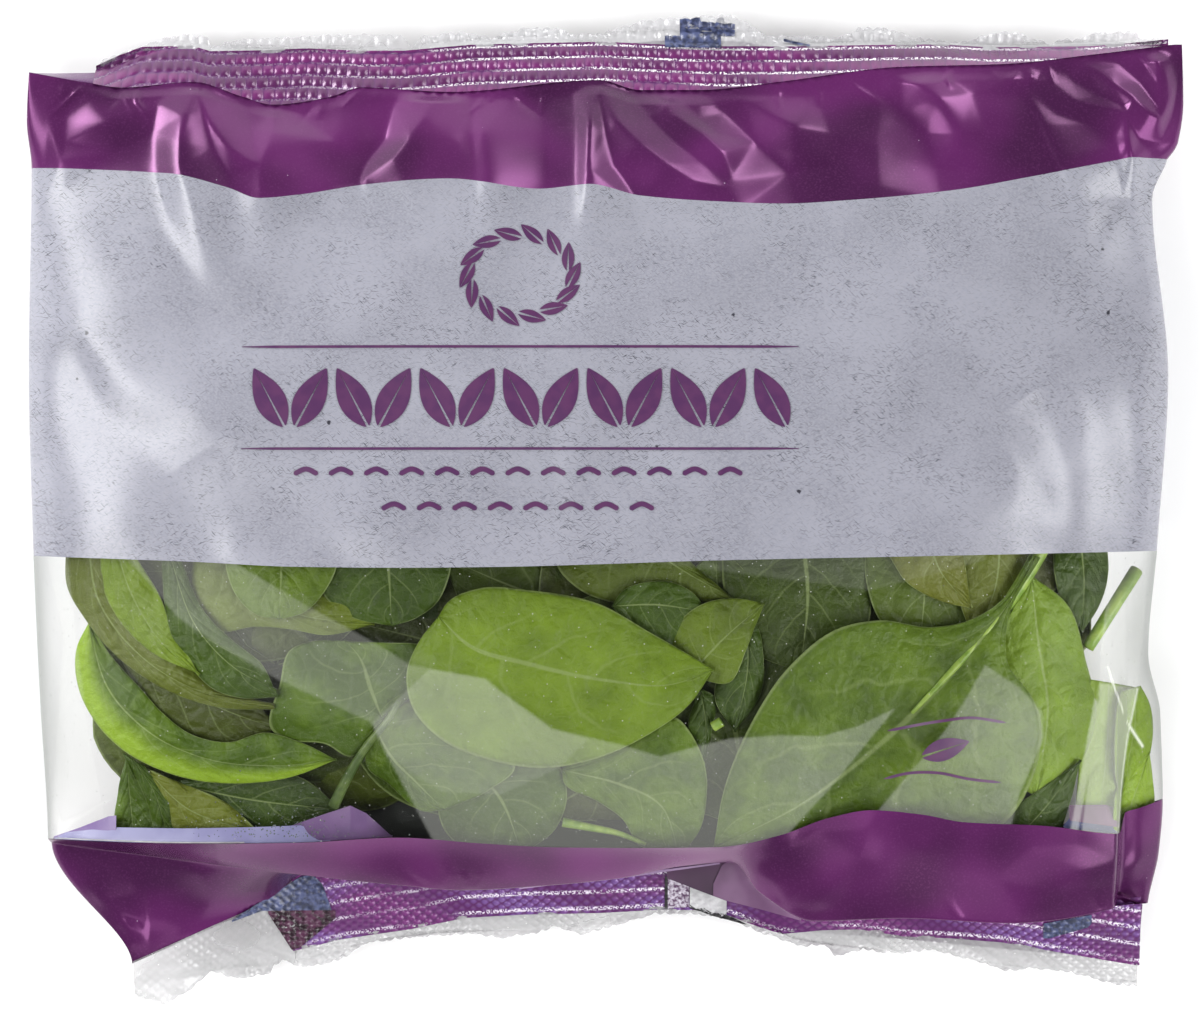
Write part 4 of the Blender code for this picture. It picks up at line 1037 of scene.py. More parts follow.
def leafGrid(leaf, rows, columns):
    # flat place = rib + |t| (margin - rib), t from -1 to 1 across and s from 0 to 1 along; then
    # lowered by its depth and cup, ruffled by |t|^3 sin at the margins, grooved at the midrib
    rib, left, right = (smoothPath(fromPhoto(leaf[part], level["leaves"]), rows)
                        for part in ("rib", "left", "right"))
    s, t = np.meshgrid(np.linspace(0, 1, rows), np.linspace(-1, 1, columns), indexing="ij")
    margin = np.where(t[..., None] < 0, left[:, None], right[:, None])
    flat = rib[:, None] + np.abs(t)[..., None] * (margin - rib[:, None])
    x, y = flat[..., 0], flat[..., 1]
    depth = leaf["depth"][0] + (leaf["depth"][1] - leaf["depth"][0]) * s
    phase = leaf["depth"][0] * 2.3 + x[0, 0]
    ruffle = leaf.get("ruffle", 0.5) * np.abs(t) ** 3 * np.sin(2 * math.pi * (2.3 * s + 0.4 * t) + phase)
    pucker = 0.35 * np.sin(x / 3.1 + phase) * np.sin(y / 2.7 - phase) * (1.0 - np.abs(t))
    cup = leaf.get("cup", 0.8) * t ** 2
    groove = 0.5 * np.exp(-(t / 0.05) ** 2)
    z = frontPlace(x, y, 0.0, False) - depth - cup + ruffle + pucker - groove
    uv = np.stack([0.5 + 0.5 * t, s], -1)
    # painted light: the half of the leaf on the side t < 0 is lightened towards its margin
    toneAndShade = np.full(x.shape, leaf["toneAndShade"]) + leaf.get("paintedSideLight", 0.0) * smoothStep(-0.1, 0.9, -t)
    return np.stack([x, y, z], -1), uv, toneAndShade, np.full(x.shape, leaf.get("olive", 0.0))


def joinGrids(name, grids, material, thickness=0.35):
    # several grids as one mesh; faces are turned up where a grid's own order points down
    places, uvs, tonesAndShades, olives, faces, first = [], [], [], [], [], 0
    for place, uv, toneAndShade, olive in grids:
        rows, columns = toneAndShade.shape
        cells = gridFaces(rows, columns, first)
        alongRow = place[rows // 2, columns // 2 + 1] - place[rows // 2, columns // 2]
        alongColumn = place[rows // 2 + 1, columns // 2] - place[rows // 2, columns // 2]
        if np.cross(alongRow, alongColumn)[2] < 0:
            cells = cells[:, ::-1]
        faces.append(cells)
        places.append(place.reshape(-1, 3))
        uvs.append(uv.reshape(-1, 2))
        tonesAndShades.append(toneAndShade.ravel())
        olives.append(olive.ravel())
        first += rows * columns
    piece = makeMesh(name, np.concatenate(places), np.concatenate(faces), material,
                     np.concatenate(uvs), "leaf",
                     {"toneAndShade": np.concatenate(tonesAndShades), "olive": np.concatenate(olives)})
    wall = piece.modifiers.new("thickness", "SOLIDIFY")
    wall.thickness, wall.offset = thickness * mm, -1.0
    return piece


# The leaves that show in the window. Margins and midrib are in photo pixels from stalk to tip,
# depth is in mm below the film at the stalk and at the tip. toneAndShade is a leaf's lightness, kept
# low for leaves lying deep as painted shade; paintedSideLight lightens one side as painted light.
shownLeaves = [
    dict(name="centre", depth=(2.2, 1.6), toneAndShade=0.78, olive=0.1, ruffle=0.3,
         rib=((439, 616), (470, 645), (530, 663), (610, 680), (670, 684), (713, 669)),
         left=((439, 616), (447, 603), (480, 588), (530, 590), (600, 604), (650, 632), (690, 655),
               (713, 669)),
         right=((439, 616), (420, 640), (407, 672), (412, 705), (440, 738), (490, 760), (545, 768),
                (600, 757), (650, 733), (690, 703), (713, 669))),
    dict(name="bigRight", depth=(2.0, 2.4), toneAndShade=0.55, olive=0.05, ruffle=0.5,
         rib=((1037, 556), (1003, 612), (955, 668), (890, 735), (810, 800), (714, 850)),
         left=((1032, 554), (1000, 603), (965, 622), (930, 627), (880, 620), (838, 628), (790, 665),
               (750, 725), (724, 790), (714, 850)),
         right=((1042, 558), (1010, 615), (1008, 662), (1036, 702), (1043, 724), (1040, 764),
                (1009, 824), (960, 850), (850, 868), (714, 850))),
    dict(name="behindRight", depth=(4.2, 4.6), toneAndShade=0.8,
         rib=((1033, 575), (1040, 640), (1050, 700), (1040, 800)),
         left=((1033, 575), (1000, 640), (990, 700), (1000, 770), (1040, 800)),
         right=((1033, 575), (1070, 605), (1090, 662), (1101, 713), (1085, 765), (1040, 800))),
    dict(name="darkTopRight", depth=(6.0, 5.5), toneAndShade=0.3,
         rib=((1084, 530), (1088, 585), (1085, 634)),
         left=((1056, 530), (1058, 578), (1068, 610), (1085, 634)),
         right=((1110, 530), (1114, 570), (1105, 605), (1085, 634))),
    dict(name="pointedRight", depth=(4.4, 3.4), toneAndShade=0.3,
         rib=((1000, 860), (1042, 818), (1085, 762)),
         left=((1000, 860), (1012, 815), (1050, 788), (1085, 762)),
         right=((1000, 860), (1058, 846), (1074, 806), (1085, 762))),
    dict(name="farRight", depth=(1.6, 1.6), toneAndShade=0.85, ruffle=0.3,
         rib=((1140, 690), (1143, 720), (1138, 760), (1128, 806)),
         left=((1126, 694), (1122, 720), (1120, 765), (1128, 806)),
         right=((1148, 688), (1158, 706), (1162, 752), (1128, 806))),
    dict(name="farRightLow", depth=(1.9, 1.9), toneAndShade=1.0, ruffle=0.3,
         rib=((1160, 756), (1150, 785), (1138, 815), (1120, 850)),
         left=((1160, 756), (1132, 778), (1120, 805), (1120, 850)),
         right=((1160, 756), (1164, 780), (1164, 820), (1120, 850))),
    dict(name="underReflectionRight", depth=(5.0, 5.0), toneAndShade=0.95, olive=0.1,
         rib=((1114, 684), (1113, 740), (1108, 800), (1103, 862)),
         left=((1095, 681), (1088, 730), (1082, 790), (1076, 862)),
         right=((1145, 690), (1140, 720), (1134, 770), (1126, 862))),
    dict(name="leftBright", depth=(6.5, 3.6), toneAndShade=0.55, paintedSideLight=0.6, ruffle=0.3,
         rib=((84, 630), (104, 690), (150, 736), (205, 760), (270, 767), (336, 760)),
         left=((84, 622), (70, 650), (72, 690), (90, 724), (120, 753), (152, 770), (192, 782),
               (240, 785), (290, 778), (336, 760)),
         right=((84, 622), (104, 654), (136, 688), (160, 714), (188, 735), (228, 743), (264, 733),
                (298, 742), (336, 760))),
    dict(name="leftShade", depth=(7.5, 6.6), toneAndShade=0.1, olive=0.3,
         rib=((120, 650), (180, 690), (235, 715), (272, 728)),
         left=((110, 650), (140, 700), (180, 745), (235, 752), (272, 735)),
         right=((130, 650), (200, 680), (250, 700), (272, 722))),
    dict(name="leftOlive", depth=(4.2, 3.6), toneAndShade=0.42, olive=0.6,
         rib=((84, 545), (94, 600), (136, 655), (200, 692), (274, 705)),
         left=((60, 545), (61, 588), (80, 620), (112, 656), (144, 680), (176, 696), (220, 708),
               (274, 710)),
         right=((112, 545), (124, 595), (165, 645), (215, 688), (274, 704))),
    dict(name="leftInner", depth=(3.0, 2.6), toneAndShade=0.8, olive=0.2,
         rib=((112, 545), (132, 600), (158, 640), (199, 675)),
         left=((97, 545), (100, 590), (116, 620), (144, 649), (199, 675)),
         right=((126, 545), (158, 596), (172, 630), (185, 652), (199, 675))),
    dict(name="leftDark", depth=(3.2, 1.8), toneAndShade=0.36,
         rib=((170, 560), (195, 625), (235, 668), (277, 690)),
         left=((160, 560), (164, 610), (172, 640), (190, 668), (214, 690), (240, 698), (278, 697)),
         right=((180, 560), (204, 612), (236, 643), (262, 664), (278, 697))),
    dict(name="paleTop", depth=(5.2, 3.4), toneAndShade=0.62, olive=0.55,
         rib=((215, 535), (240, 590), (300, 615), (375, 624)),
         left=((197, 535), (188, 590), (190, 620), (212, 632), (255, 627), (290, 629), (325, 635),
               (375, 624)),
         right=((240, 535), (290, 570), (330, 590), (375, 624))),
    dict(name="tongueTop", depth=(1.8, 1.8), toneAndShade=0.62, olive=0.1,
         rib=((283, 520), (282, 570), (280, 619)),
         left=((226, 520), (227, 572), (238, 598), (256, 614), (280, 619)),
         right=((338, 520), (338, 565), (325, 592), (305, 612), (280, 619))),
    dict(name="darkTop", depth=(3.8, 3.0), toneAndShade=0.32,
         rib=((385, 520), (390, 580), (392, 626)),
         left=((322, 520), (317, 570), (325, 596), (350, 616), (392, 626)),
         right=((450, 520), (449, 578), (437, 603), (418, 617), (392, 626))),
    dict(name="square", depth=(4.6, 3.4), toneAndShade=0.5, ruffle=0.7,
         rib=((383, 720), (372, 690), (360, 656), (345, 640)),
         left=((383, 722), (348, 757), (327, 745), (283, 739), (272, 732), (280, 683), (290, 650),
               (312, 641), (345, 640)),
         right=((383, 717), (405, 702), (428, 672), (424, 648), (388, 643), (345, 640))),
    dict(name="lower", depth=(5.4, 4.6), toneAndShade=0.55,
         rib=((372, 720), (390, 757), (416, 785), (444, 811)),
         left=((372, 720), (364, 752), (368, 770), (386, 784), (407, 803), (422, 813), (444, 811)),
         right=((372, 720), (410, 700), (460, 722), (502, 750), (515, 767), (490, 790),
                (444, 811))),
    dict(name="lowerMiddle", depth=(6.6, 6.0), toneAndShade=0.45,
         rib=((470, 765), (500, 800), (520, 852)),
         left=((470, 765), (438, 795), (442, 830), (470, 856), (520, 858)),
         right=((470, 765), (520, 760), (559, 767), (567, 795), (557, 828), (520, 858))),
    dict(name="lowerRight", depth=(5.4, 4.6), toneAndShade=0.58,
         rib=((562, 770), (620, 786), (660, 806), (680, 856)),
         left=((562, 768), (620, 745), (677, 718), (696, 742), (706, 770), (707, 800), (700, 832),
               (680, 858)),
         right=((562, 770), (563, 781), (598, 803), (622, 820), (640, 848), (680, 858))),
    dict(name="smallDark", depth=(4.6, 4.2), toneAndShade=0.36,
         rib=((612, 606), (655, 604), (708, 612)),
         left=((612, 605), (622, 591), (646, 582), (675, 583), (694, 594), (708, 612)),
         right=((612, 607), (640, 645), (680, 648), (708, 612))),
    dict(name="smallTip", depth=(4.4, 3.0), toneAndShade=0.6, olive=0.3,
         rib=((690, 674), (722, 640), (764, 603)),
         left=((690, 672), (671, 636), (683, 617), (704, 603), (734, 598), (764, 603)),
         right=((690, 676), (730, 682), (745, 652), (755, 626), (764, 603))),
    dict(name="smallBehind", depth=(5.6, 5.4), toneAndShade=0.26,
         rib=((745, 612), (748, 665), (735, 732)),
         left=((745, 612), (728, 650), (715, 700), (735, 732)),
         right=((745, 612), (758, 628), (763, 655), (762, 690), (735, 732))),
    dict(name="underTip", depth=(6.0, 6.2), toneAndShade=0.28,
         rib=((700, 688), (706, 725), (703, 768)),
         left=((700, 688), (688, 725), (703, 768)),
         right=((700, 688), (715, 697), (713, 725), (703, 768))),
    dict(name="oliveTop", depth=(6.6, 6.4), toneAndShade=0.42, olive=0.35,
         rib=((620, 520), (672, 562), (735, 600)),
         left=((560, 520), (558, 568), (580, 590), (620, 604), (680, 604), (735, 600)),
         right=((650, 520), (692, 563), (735, 600))),
    dict(name="bigDarkTop", depth=(6.8, 7.0), toneAndShade=0.2, olive=0.1,
         rib=((800, 520), (808, 590), (800, 672)),
         left=((722, 520), (726, 600), (750, 650), (800, 672)),
         right=((866, 520), (872, 590), (868, 625), (842, 655), (800, 672))),
    dict(name="oliveWedge", depth=(3.6, 3.2), toneAndShade=0.5, olive=0.95,
         rib=((925, 525), (940, 570), (972, 608)),
         left=((872, 525), (893, 563), (904, 580), (924, 594), (950, 604), (972, 608)),
         right=((960, 525), (967, 575), (972, 608))),
    dict(name="midTop", depth=(6.2, 6.4), toneAndShade=0.42, olive=0.2,
         rib=((920, 520), (925, 590), (920, 650)),
         left=((868, 520), (866, 580), (880, 620), (920, 650)),
         right=((985, 520), (985, 580), (968, 625), (920, 650))),
    dict(name="oliveCorner", depth=(4.8, 4.8), toneAndShade=0.5, olive=0.7,
         rib=((1002, 526), (996, 590), (975, 640)),
         left=((962, 526), (960, 600), (975, 640)),
         right=((1044, 526), (1018, 600), (975, 640))),
    dict(name="cornerLow", depth=(7.0, 7.0), toneAndShade=0.5,
         rib=((122, 757), (124, 795), (128, 846)),
         left=((122, 757), (112, 795), (111, 836), (128, 846)),
         right=((122, 757), (137, 790), (152, 836), (128, 846))),
    dict(name="stripLow", depth=(6.4, 6.0), toneAndShade=0.38,
         rib=((129, 762), (150, 795), (164, 846)),
         left=((118, 756), (138, 795), (152, 846)),
         right=((140, 768), (160, 796), (176, 846))),
    dict(name="goldLow", depth=(6.8, 6.4), toneAndShade=0.62, olive=0.85, ruffle=1.0,
         rib=((141, 772), (185, 812), (252, 834)),
         left=((140, 772), (158, 820), (200, 846), (252, 840)),
         right=((142, 772), (190, 790), (228, 808), (252, 832))),
    dict(name="darkLow", depth=(8.0, 7.6), toneAndShade=0.18,
         rib=((165, 785), (250, 802), (340, 812)),
         left=((165, 785), (200, 822), (270, 842), (340, 816)),
         right=((165, 785), (240, 772), (300, 780), (340, 812))),
]
print("shown leaves", len(shownLeaves))
joinGrids("leaves_shown", [leafGrid(leaf, 56, 26) for leaf in shownLeaves], leafSkin)

loose = {"count": 74, "length": (38.0, 62.0), "slim": (0.28, 0.38), "front": 46,
         "across": (-92, 90), "along": (-58, -4), "bend": (-0.5, 0.5), "under": (9.0, 13.0),
         "overFloor": (0.6, 5.5), "curl": (-1.5, 2.5), "tilt": (-2, 2), "xLimit": (-112, 106),
         "yLimit": (-66, 40), "lowest": 1.5, "underFilm": 7.5, "foldX": 124.0, "foldRise": 17.0}


def looseLeaf(index):
    # a leaf from its length, half width, heading and bend: width is sin(pi s^0.8)^0.75
    draw = np.random.default_rng(500 + index)
    length = draw.uniform(*loose["length"])
    half = length * draw.uniform(*loose["slim"])
    heading = draw.uniform(0, 2 * math.pi)
    onFront = index < loose["front"]
    middle = np.array([draw.uniform(*loose["across"]), draw.uniform(*loose["along"])])
    bend = draw.uniform(*loose["bend"])
    s, t = np.meshgrid(np.linspace(0, 1, 22), np.linspace(-1, 1, 11), indexing="ij")
    angle = heading + bend * (s - 0.5)
    along = (s - 0.5) * length
    width = half * np.sin(math.pi * s ** 0.8) ** 0.75 + 0.4
    x = middle[0] + along * np.cos(angle) - t * width * np.sin(angle)
    y = middle[1] + along * np.sin(angle) + t * width * np.cos(angle)
    x, y = np.clip(x, *loose["xLimit"]), np.clip(y, *loose["yLimit"])
    wave = 0.9 * np.sin(7.0 * s + index) * t ** 2 + draw.uniform(*loose["curl"]) * t ** 2
    top = frontPlace(x, y, 0.0, False)
    if onFront:
        z = top - draw.uniform(*loose["under"]) - draw.uniform(*loose["tilt"]) * (s - 0.5) * 2 - wave
    else:
        side = np.abs(x) / loose["foldX"]
        back = 1.6 + loose["foldRise"] * smoothStep(bag["flatShare"], 1.0, side)
        z = back + draw.uniform(*loose["overFloor"]) + wave
    z = np.clip(z, loose["lowest"], top - loose["underFilm"])
    # leaves under the front ones get a darker tone: painted shade
    toneAndShade = np.full(x.shape, draw.uniform(0.0, 0.3) if onFront else draw.uniform(0.3, 0.8))
    uv = np.stack([0.5 + 0.5 * t, s], -1)
    return np.stack([x, y, z], -1), uv, toneAndShade, np.full(x.shape, draw.uniform(0.0, 0.4))


joinGrids("leaves_loose", [looseLeaf(i) for i in range(loose["count"])], leafSkin)


def tubeAlong(path, radii, sides=12):
    # a ring of points carried along a path of places, square to it, closed by a point at each end
    path = np.array(path, float)
    run = np.gradient(path, axis=0)
    run /= np.linalg.norm(run, axis=1)[:, None]
    side = np.cross(run, (0.0, 0.0, 1.0))
    side /= np.linalg.norm(side, axis=1)[:, None]
    up = np.cross(side, run)
    angle = np.linspace(0, 2 * math.pi, sides, endpoint=False)
    ring = (np.cos(angle)[None, :, None] * side[:, None] + np.sin(angle)[None, :, None] * up[:, None])
    places = (path[:, None] + ring * np.asarray(radii)[:, None, None]).reshape(-1, 3)
    count = len(path)
    start = np.arange(count - 1)[:, None] * sides + np.arange(sides)
    after = np.arange(count - 1)[:, None] * sides + (np.arange(sides) + 1) % sides
    walls = np.stack([start, after, after + sides, start + sides], -1).reshape(-1, 4)
    return places, walls


stalks = [
    dict(path=((1147, 565), (1119, 607), (1088, 655)), radius=(1.55, 1.35), depth=(4.0, 6.0)),
    dict(path=((404, 692), (388, 720), (368, 744), (348, 776), (328, 816)), radius=(0.5, 1.3),
         depth=(3.2, 5.0), shaded=True),
    dict(path=((556, 822), (592, 829), (616, 834), (652, 849)), radius=(1.1, 0.4), depth=(4.4, 4.6)),
    dict(path=((1056, 524), (1036, 562), (1003, 612), (960, 662), (900, 725)), radius=(2.0, 0.3),
         depth=(5.6, 1.6)),
    dict(path=((712, 727), (722, 721)), radius=(1.1, 1.1), depth=(4.6, 4.2)),
]


def stalkMesh(name, shaded, material):
    # tubes along the stalks of one kind: radius and depth under the film run evenly end to end
    places, faces, first = [], [], 0
    for stalk in [each for each in stalks if each.get("shaded", False) == shaded]:
        flat = smoothPath(fromPhoto(stalk["path"], level["leaves"]), 16)
        depth = np.linspace(*stalk["depth"], 16)
        z = frontPlace(flat[:, 0], flat[:, 1], 0.0, False) - depth
        radii = np.linspace(*stalk["radius"], 16)
        radii[[0, -1]] *= 0.02                       # the ends close on themselves
        line = np.column_stack([flat, z])
        line[0] += (line[1] - line[0]) * 0.96
        line[-1] += (line[-2] - line[-1]) * 0.96
        ring, walls = tubeAlong(line, radii)
        places.append(ring)
        faces.append(walls + first)
        first += len(ring)
    return makeMesh(name, np.concatenate(places), np.concatenate(faces), material)


stalkMesh("leaf_stalks", False, stalkSkin)
stalkMesh("leaf_stalk_shaded", True, stalkShade)
core = {"top": 13.0, "bottom": 3.0, "rim": 0.1, "v": (2.5, 5.7), "lump": 1.6}


def heapCore():
    # the middle of the heap: the bag's own shape drawn in, its two faces parting from a rim
    # as sqrt(1 - s^4) sqrt(1 - w^4), with s and w from -1 to 1 across and along, and lumps on top
    v, u = np.meshgrid(np.linspace(*core["v"], 70), np.linspace(core["rim"], 1 - core["rim"], 110),
                       indexing="ij")
    x, y = plan(u, v)
    s = np.clip(np.abs(2 * u - 1) / (1 - 2 * core["rim"]), 0, 1)
    w = np.abs(2 * (v - core["v"][0]) / (core["v"][1] - core["v"][0]) - 1)
    full = (1 - s ** 4) ** 0.5 * (1 - w ** 4) ** 0.5
    lump = core["lump"] * np.sin(x / 5.3 + np.sin(y / 7.0)) * np.sin(y / 4.6 + np.sin(x / 9.0))
    top = frontHeight(u, v, x, y, False) - core["top"]
    middle = np.minimum(12.0, top - 1.0)
    upper = middle + (top + lump - middle) * full
    lower = middle + (core["bottom"] + 0.3 * lump - middle) * full
    faces = gridFaces(70, 110)
    places = np.concatenate([np.stack([x, y, upper], -1).reshape(-1, 3),
                             np.stack([x, y, lower], -1).reshape(-1, 3)])
    piece = makeMesh("leaf_heap_core", places,
                     np.concatenate([faces, faces[:, ::-1] + v.size]), heapShade)
    weld = piece.modifiers.new("rim", "WELD")
    weld.merge_threshold = 0.00001
    return piece


heapCore()


# Print on the film, laid a hair above it

def printPiece(name, grids, above=0.14):
    # flat grids of (x, y) laid on the front film: z is the film's height plus above
    places, faces, first = [], [], 0
    for flat in grids:
        x, y = flat[..., 0], flat[..., 1]
        rows, columns = x.shape
        cells = gridFaces(rows, columns, first)
        middle = flat[rows // 2, columns // 2]
        a, b = flat[rows // 2, columns // 2 + 1] - middle, flat[rows // 2 + 1, columns // 2] - middle
        if a[0] * b[1] - a[1] * b[0] < 0:
            cells = cells[:, ::-1]
        places.append(np.stack([x, y, frontPlace(x, y, above)], -1).reshape(-1, 3))
        faces.append(cells)
        first += x.size
    return makeMesh(name, np.concatenate(places), np.concatenate(faces), ornamentInk)


def ribbon(path, width, count=120, across=5):
    # a line of print: the path widened both ways, tapered at its ends
    line = smoothPath(path, count)
    run = np.gradient(line, axis=0)
    run /= np.linalg.norm(run, axis=1)[:, None]
    side = np.column_stack([-run[:, 1], run[:, 0]])
    s = np.linspace(0, 1, count)
    half = width / 2 * np.minimum(1.0, 12 * np.minimum(s, 1 - s) + 0.3)
    offset = np.linspace(-1, 1, across)
    return line[:, None] + side[:, None] * (half[:, None] * offset)[..., None]


def leafFigure(middle, length, half, turn, side=0, rows=60, columns=15):
    # half a plain leaf, one side of its midrib: width is sin(pi s^0.85)^0.9, the rib left bare
    s, t = np.meshgrid(np.linspace(0.02, 0.99, rows), np.linspace(0.0, 1.0, columns), indexing="ij")
    width = half * np.sin(math.pi * s ** 0.85) ** 0.9
    bare = 0.28 * (1 - s)
    across = side * (bare + np.maximum(width - bare, 0.02) * t)
    along = (s - 0.5) * length
    c, d = math.cos(turn), math.sin(turn)
    return np.stack([middle[0] + along * c - across * d, middle[1] + along * d + across * c], -1)


ornament = {"rowY": 25.5, "rowFrom": -72.0, "rowTo": 36.0, "rowLeaves": 13, "leafLength": 14.5,
            "leafHalf": 3.3, "ruleYs": (36.5, 14.5), "wreath": (-18.0, 52.0), "wreathRadius": 11.5,
            "wreathLeaves": 14, "wreathLeaf": (6.4, 1.35), "dashYs": (9.0, 1.5),
            "dashReach": (46.0, 27.0), "dashStep": 7.6, "dashMiddle": -18.0, "dashHalf": 2.6}
figures = []
for index, x in enumerate(np.linspace(ornament["rowFrom"], ornament["rowTo"], ornament["rowLeaves"])):
    turn = math.radians(62 if index % 2 else 118)
    for side in (-1, 1):
        figures.append(leafFigure((x, ornament["rowY"]), ornament["leafLength"],
                                  ornament["leafHalf"], turn, side))
for index in range(ornament["wreathLeaves"]):
    angle = 2 * math.pi * index / ornament["wreathLeaves"]
    spot = (ornament["wreath"][0] + ornament["wreathRadius"] * math.cos(angle),
            ornament["wreath"][1] + ornament["wreathRadius"] * 0.8 * math.sin(angle))
    for side in (-1, 1):
        figures.append(leafFigure(spot, *ornament["wreathLeaf"], angle + math.radians(62), side,
                                  30, 7))
printPiece("print_leaf_row", figures)
rules = [ribbon(((ornament["rowFrom"] - 6, y), ((ornament["rowFrom"] + ornament["rowTo"]) / 2, y),
                 (ornament["rowTo"] + 6, y)), 0.55, 260) for y in ornament["ruleYs"]]
for y, reach in zip(ornament["dashYs"], ornament["dashReach"]):
    for step in np.arange(-reach, reach + 0.1, ornament["dashStep"]):
        x, away = step + ornament["dashMiddle"], ornament["dashHalf"]
        rules.append(ribbon(((x - away, y), (x, y + 1.1), (x + away, y)), 1.1, 30))
printPiece("print_rules", rules)
windowRules = (((884, 728), (937, 718), (964, 715), (1001, 720)),
               ((881, 776), (906, 770), (935, 770), (964, 776), (997, 780)))
waves = [ribbon(fromPhoto(path), 0.62, 90) for path in windowRules]
for side in (-1, 1):
    waves.append(leafFigure(fromPhoto((941, 746)), 11.0, 2.4, math.radians(18), side, 40, 9))
printPiece("print_window_mark", waves)


# The film's own back, tinted by the ink behind it, as it shows through the window's lower edge,
# with a painted shadow and a painted highlight line among its strips

def insideStrip(name, lower, upper, material, depth, rise=0.0):
    # a strip seen through the window's lower edge, of back film, painted shadow and painted highlight
    # alike: between two borders in photo pixels by t from 0 to 1, at depth + rise t below the front film
    lower, upper = fromPhoto(lower, level["strips"]), fromPhoto(upper, level["strips"])
    t, x = np.meshgrid(np.linspace(0, 1, 8), np.linspace(lower[0, 0], lower[-1, 0], 160),
                       indexing="ij")
    low, high = lineHeight(lower, x), lineHeight(upper, x)
    y = np.maximum(low + (high - low) * t, readCurve(lines[3], x) + 0.05 + 0.3 * t)
    z = frontPlace(x, y, 0.0, False) - depth - rise * t
    return makeMesh(name, np.stack([x, y, z], -1).reshape(-1, 3), gridFaces(8, 160), material)


insideStrip("film_inside_corner", ((46, 846), (112, 846)), ((46, 841), (74, 831), (104, 819), (112, 818)),
            violetBack, 2.2, 2.6)
insideStrip("film_inside_left", ((48, 848), (250, 848), (330, 846)),
            ((48, 842), (60, 836), (108, 830), (180, 830), (252, 828), (300, 826), (330, 836)),
            lilacBack, 0.9, 3.0)
insideStrip("film_inside_shade", ((286, 848), (392, 846)),
            ((286, 828), (320, 816), (350, 806), (366, 814), (392, 838)), shadedBack, 1.5, 3.0)
insideStrip("film_inside_right", ((1066, 842), (1124, 844)), ((1066, 828), (1078, 813), (1124, 822)),
            slateBack, 0.9, 3.0)
insideStrip("film_inside_right_high", ((1072, 822), (1126, 830)), ((1072, 807), (1110, 807), (1126, 813)),
            pinkBackAndNotchLight, 1.3, 3.0)
# a thin pale line along the crease's lower edge: painted highlight
insideStrip("film_inside_edge_highlight", ((52, 842), (244, 846.5)), ((52, 841), (244, 844.5)), paleFilmAndEdgeHighlight, 0.6)

# Condensed drops on the inside of the film, thickest along the window's lower edge
drops = {"count": 360, "radius": (0.07, 0.2), "sides": 8, "lowShare": 0.6, "lowX": (-70, 9),
         "lowY": (-69.5, 2.2), "restX": (-105, 105), "restY": (-66, -12), "restSize": 0.55}


def dropField():
    # low domes under the film: a ring of full radius, one of 0.6 of it higher up, and a top point;
    # most crowd the window's lower edge, their distance from it falling off exponentially
    count, sides = drops["count"], drops["sides"]
    low = rng.random(count) < drops["lowShare"]
    x = np.where(low, rng.normal(*drops["lowX"], count), rng.uniform(*drops["restX"], count))
    edge, reach = drops["lowY"]
    y = np.where(low, edge + rng.exponential(reach, count), rng.uniform(*drops["restY"], count))
    radius = rng.uniform(*drops["radius"], count) * np.where(low, 1.0, drops["restSize"])
    z = frontPlace(x, y, -0.25)
    angle = np.linspace(0, 2 * math.pi, sides, endpoint=False)
    rim = np.stack([np.cos(angle), np.sin(angle)], -1)
    ring = np.zeros((count, sides, 3))
    ring[..., :2] = np.stack([x, y], -1)[:, None] + rim * radius[:, None, None]
    ring[..., 2] = z[:, None]
    dome = ring.copy()
    dome[..., :2] = np.stack([x, y], -1)[:, None] + rim * radius[:, None, None] * 0.6
    dome[..., 2] = (z + radius * 0.45)[:, None]
    low3 = np.stack([x, y, z - 0.05], -1)[:, None]
    top3 = np.stack([x, y, z + radius * 0.6], -1)[:, None]
    places = np.concatenate([low3, ring, dome, top3], 1)
    size = places.shape[1]
    around = np.arange(sides)
    after = (around + 1) % sides
    fan = np.stack([np.zeros(sides, int), 1 + after, 1 + around, 1 + around], -1)
    wall = np.stack([1 + around, 1 + after, 1 + sides + after, 1 + sides + around], -1)
    cap = np.stack([1 + sides + around, 1 + sides + after, np.full(sides, size - 1)], -1)
    flat = np.concatenate([fan[:, :3], wall[:, :3], wall[:, [0, 2, 3]], cap])
    faces = (flat[None] + (np.arange(count) * size)[:, None, None]).reshape(-1, 3)
    return makeMesh("condensed_drops", places.reshape(-1, 3), faces, dropWater)


dropField()

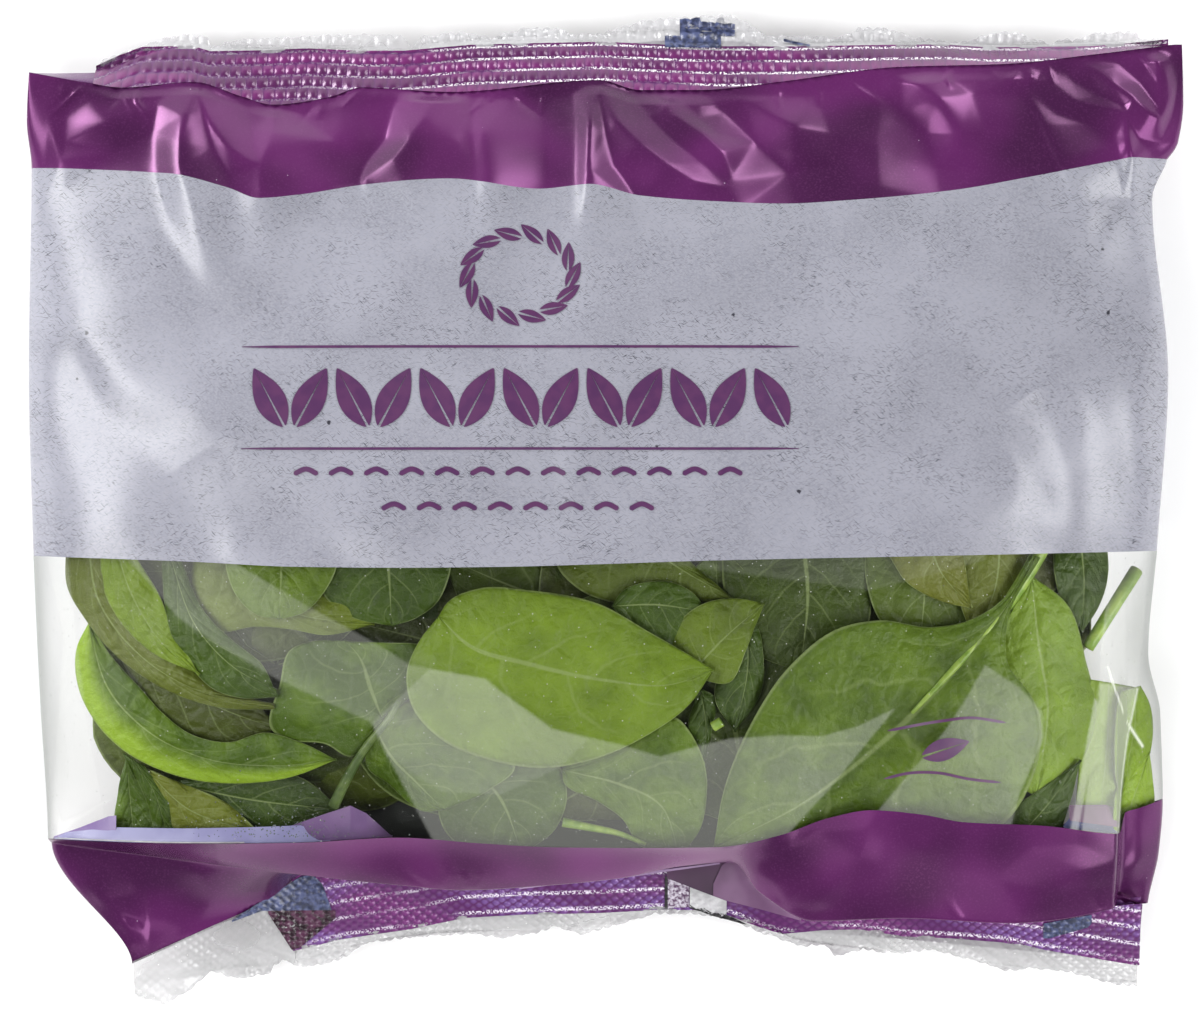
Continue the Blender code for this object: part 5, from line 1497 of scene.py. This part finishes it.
# Floor, lights and camera
print("studio")
studio = {"floor": 6.0, "distance": 1.3, "lens": 200.0, "frameWidth": 262.0,
          "planeHeight": 25.0, "aim": (-0.76, 0.44)}
floorMesh = bpy.data.meshes.new("floor")
half = studio["floor"] / 2
floorMesh.from_pydata([(-half, -half, 0), (half, -half, 0), (half, half, 0), (-half, half, 0)], [],
                      [(0, 1, 2, 3)])
floorMesh.materials.append(plainSurface("paintedStudioFloor", "#FAFAFA", "#F8F8F8", 400.0, 0.9))
floor = bpy.data.objects.new("floor", floorMesh)
bpy.context.scene.collection.objects.link(floor)
floor.location.z = -0.0002


def softbox(name, azimuth, polar, width, height, radiance):
    # a soft box on a sphere round the bag, facing it; angles in degrees, polar from straight up;
    # its power is 4 x area x radiance
    lamp = bpy.data.lights.new(name, "AREA")
    lamp.shape, lamp.size, lamp.size_y = "RECTANGLE", width, height
    lamp.energy = 4.0 * width * height * radiance
    a, p = math.radians(azimuth), math.radians(polar)
    holder = bpy.data.objects.new(name, lamp)
    holder.location = (studio["distance"] * math.sin(p) * math.cos(a),
                       studio["distance"] * math.sin(p) * math.sin(a),
                       studio["distance"] * math.cos(p))
    holder.rotation_euler = (0.0, p, a)
    holder.visible_camera = False
    bpy.context.scene.collection.objects.link(holder)


for boxName, azimuth, polar, width, height, radiance in (
        ("softbox_left", 172, 56, 0.5, 0.95, 7.0),
        ("softbox_high_left", 212, 25, 0.3, 0.42, 5.5),
        ("softbox_right", -25, 55, 0.7, 1.3, 5.2),
        ("softbox_front", -90, 41, 0.4, 0.9, 1.1),
        ("softbox_back_left", 132, 81, 0.38, 0.5, 18.0),
        ("softbox_back_right", 66, 80, 0.3, 0.42, 9.0)):
    softbox(boxName, azimuth, polar, width, height, radiance)
world = bpy.data.worlds.new("studio")
world.use_nodes = True
world.node_tree.nodes["Background"].inputs[0].default_value = srgb("#FFFFFF")
world.node_tree.nodes["Background"].inputs[1].default_value = 0.335
bpy.context.scene.world = world
bpy.context.scene.view_settings.view_transform = "Standard"

lensData = bpy.data.cameras.new("camera")
lensData.lens, lensData.sensor_width, lensData.sensor_fit = studio["lens"], 36.0, "HORIZONTAL"
lensData.clip_end = 20.0
camera = bpy.data.objects.new("camera", lensData)
away = studio["frameWidth"] * mm * studio["lens"] / 36.0
camera.location = (studio["aim"][0] * mm, studio["aim"][1] * mm, away + studio["planeHeight"] * mm)
bpy.context.scene.collection.objects.link(camera)
bpy.context.scene.camera = camera

print("finish")
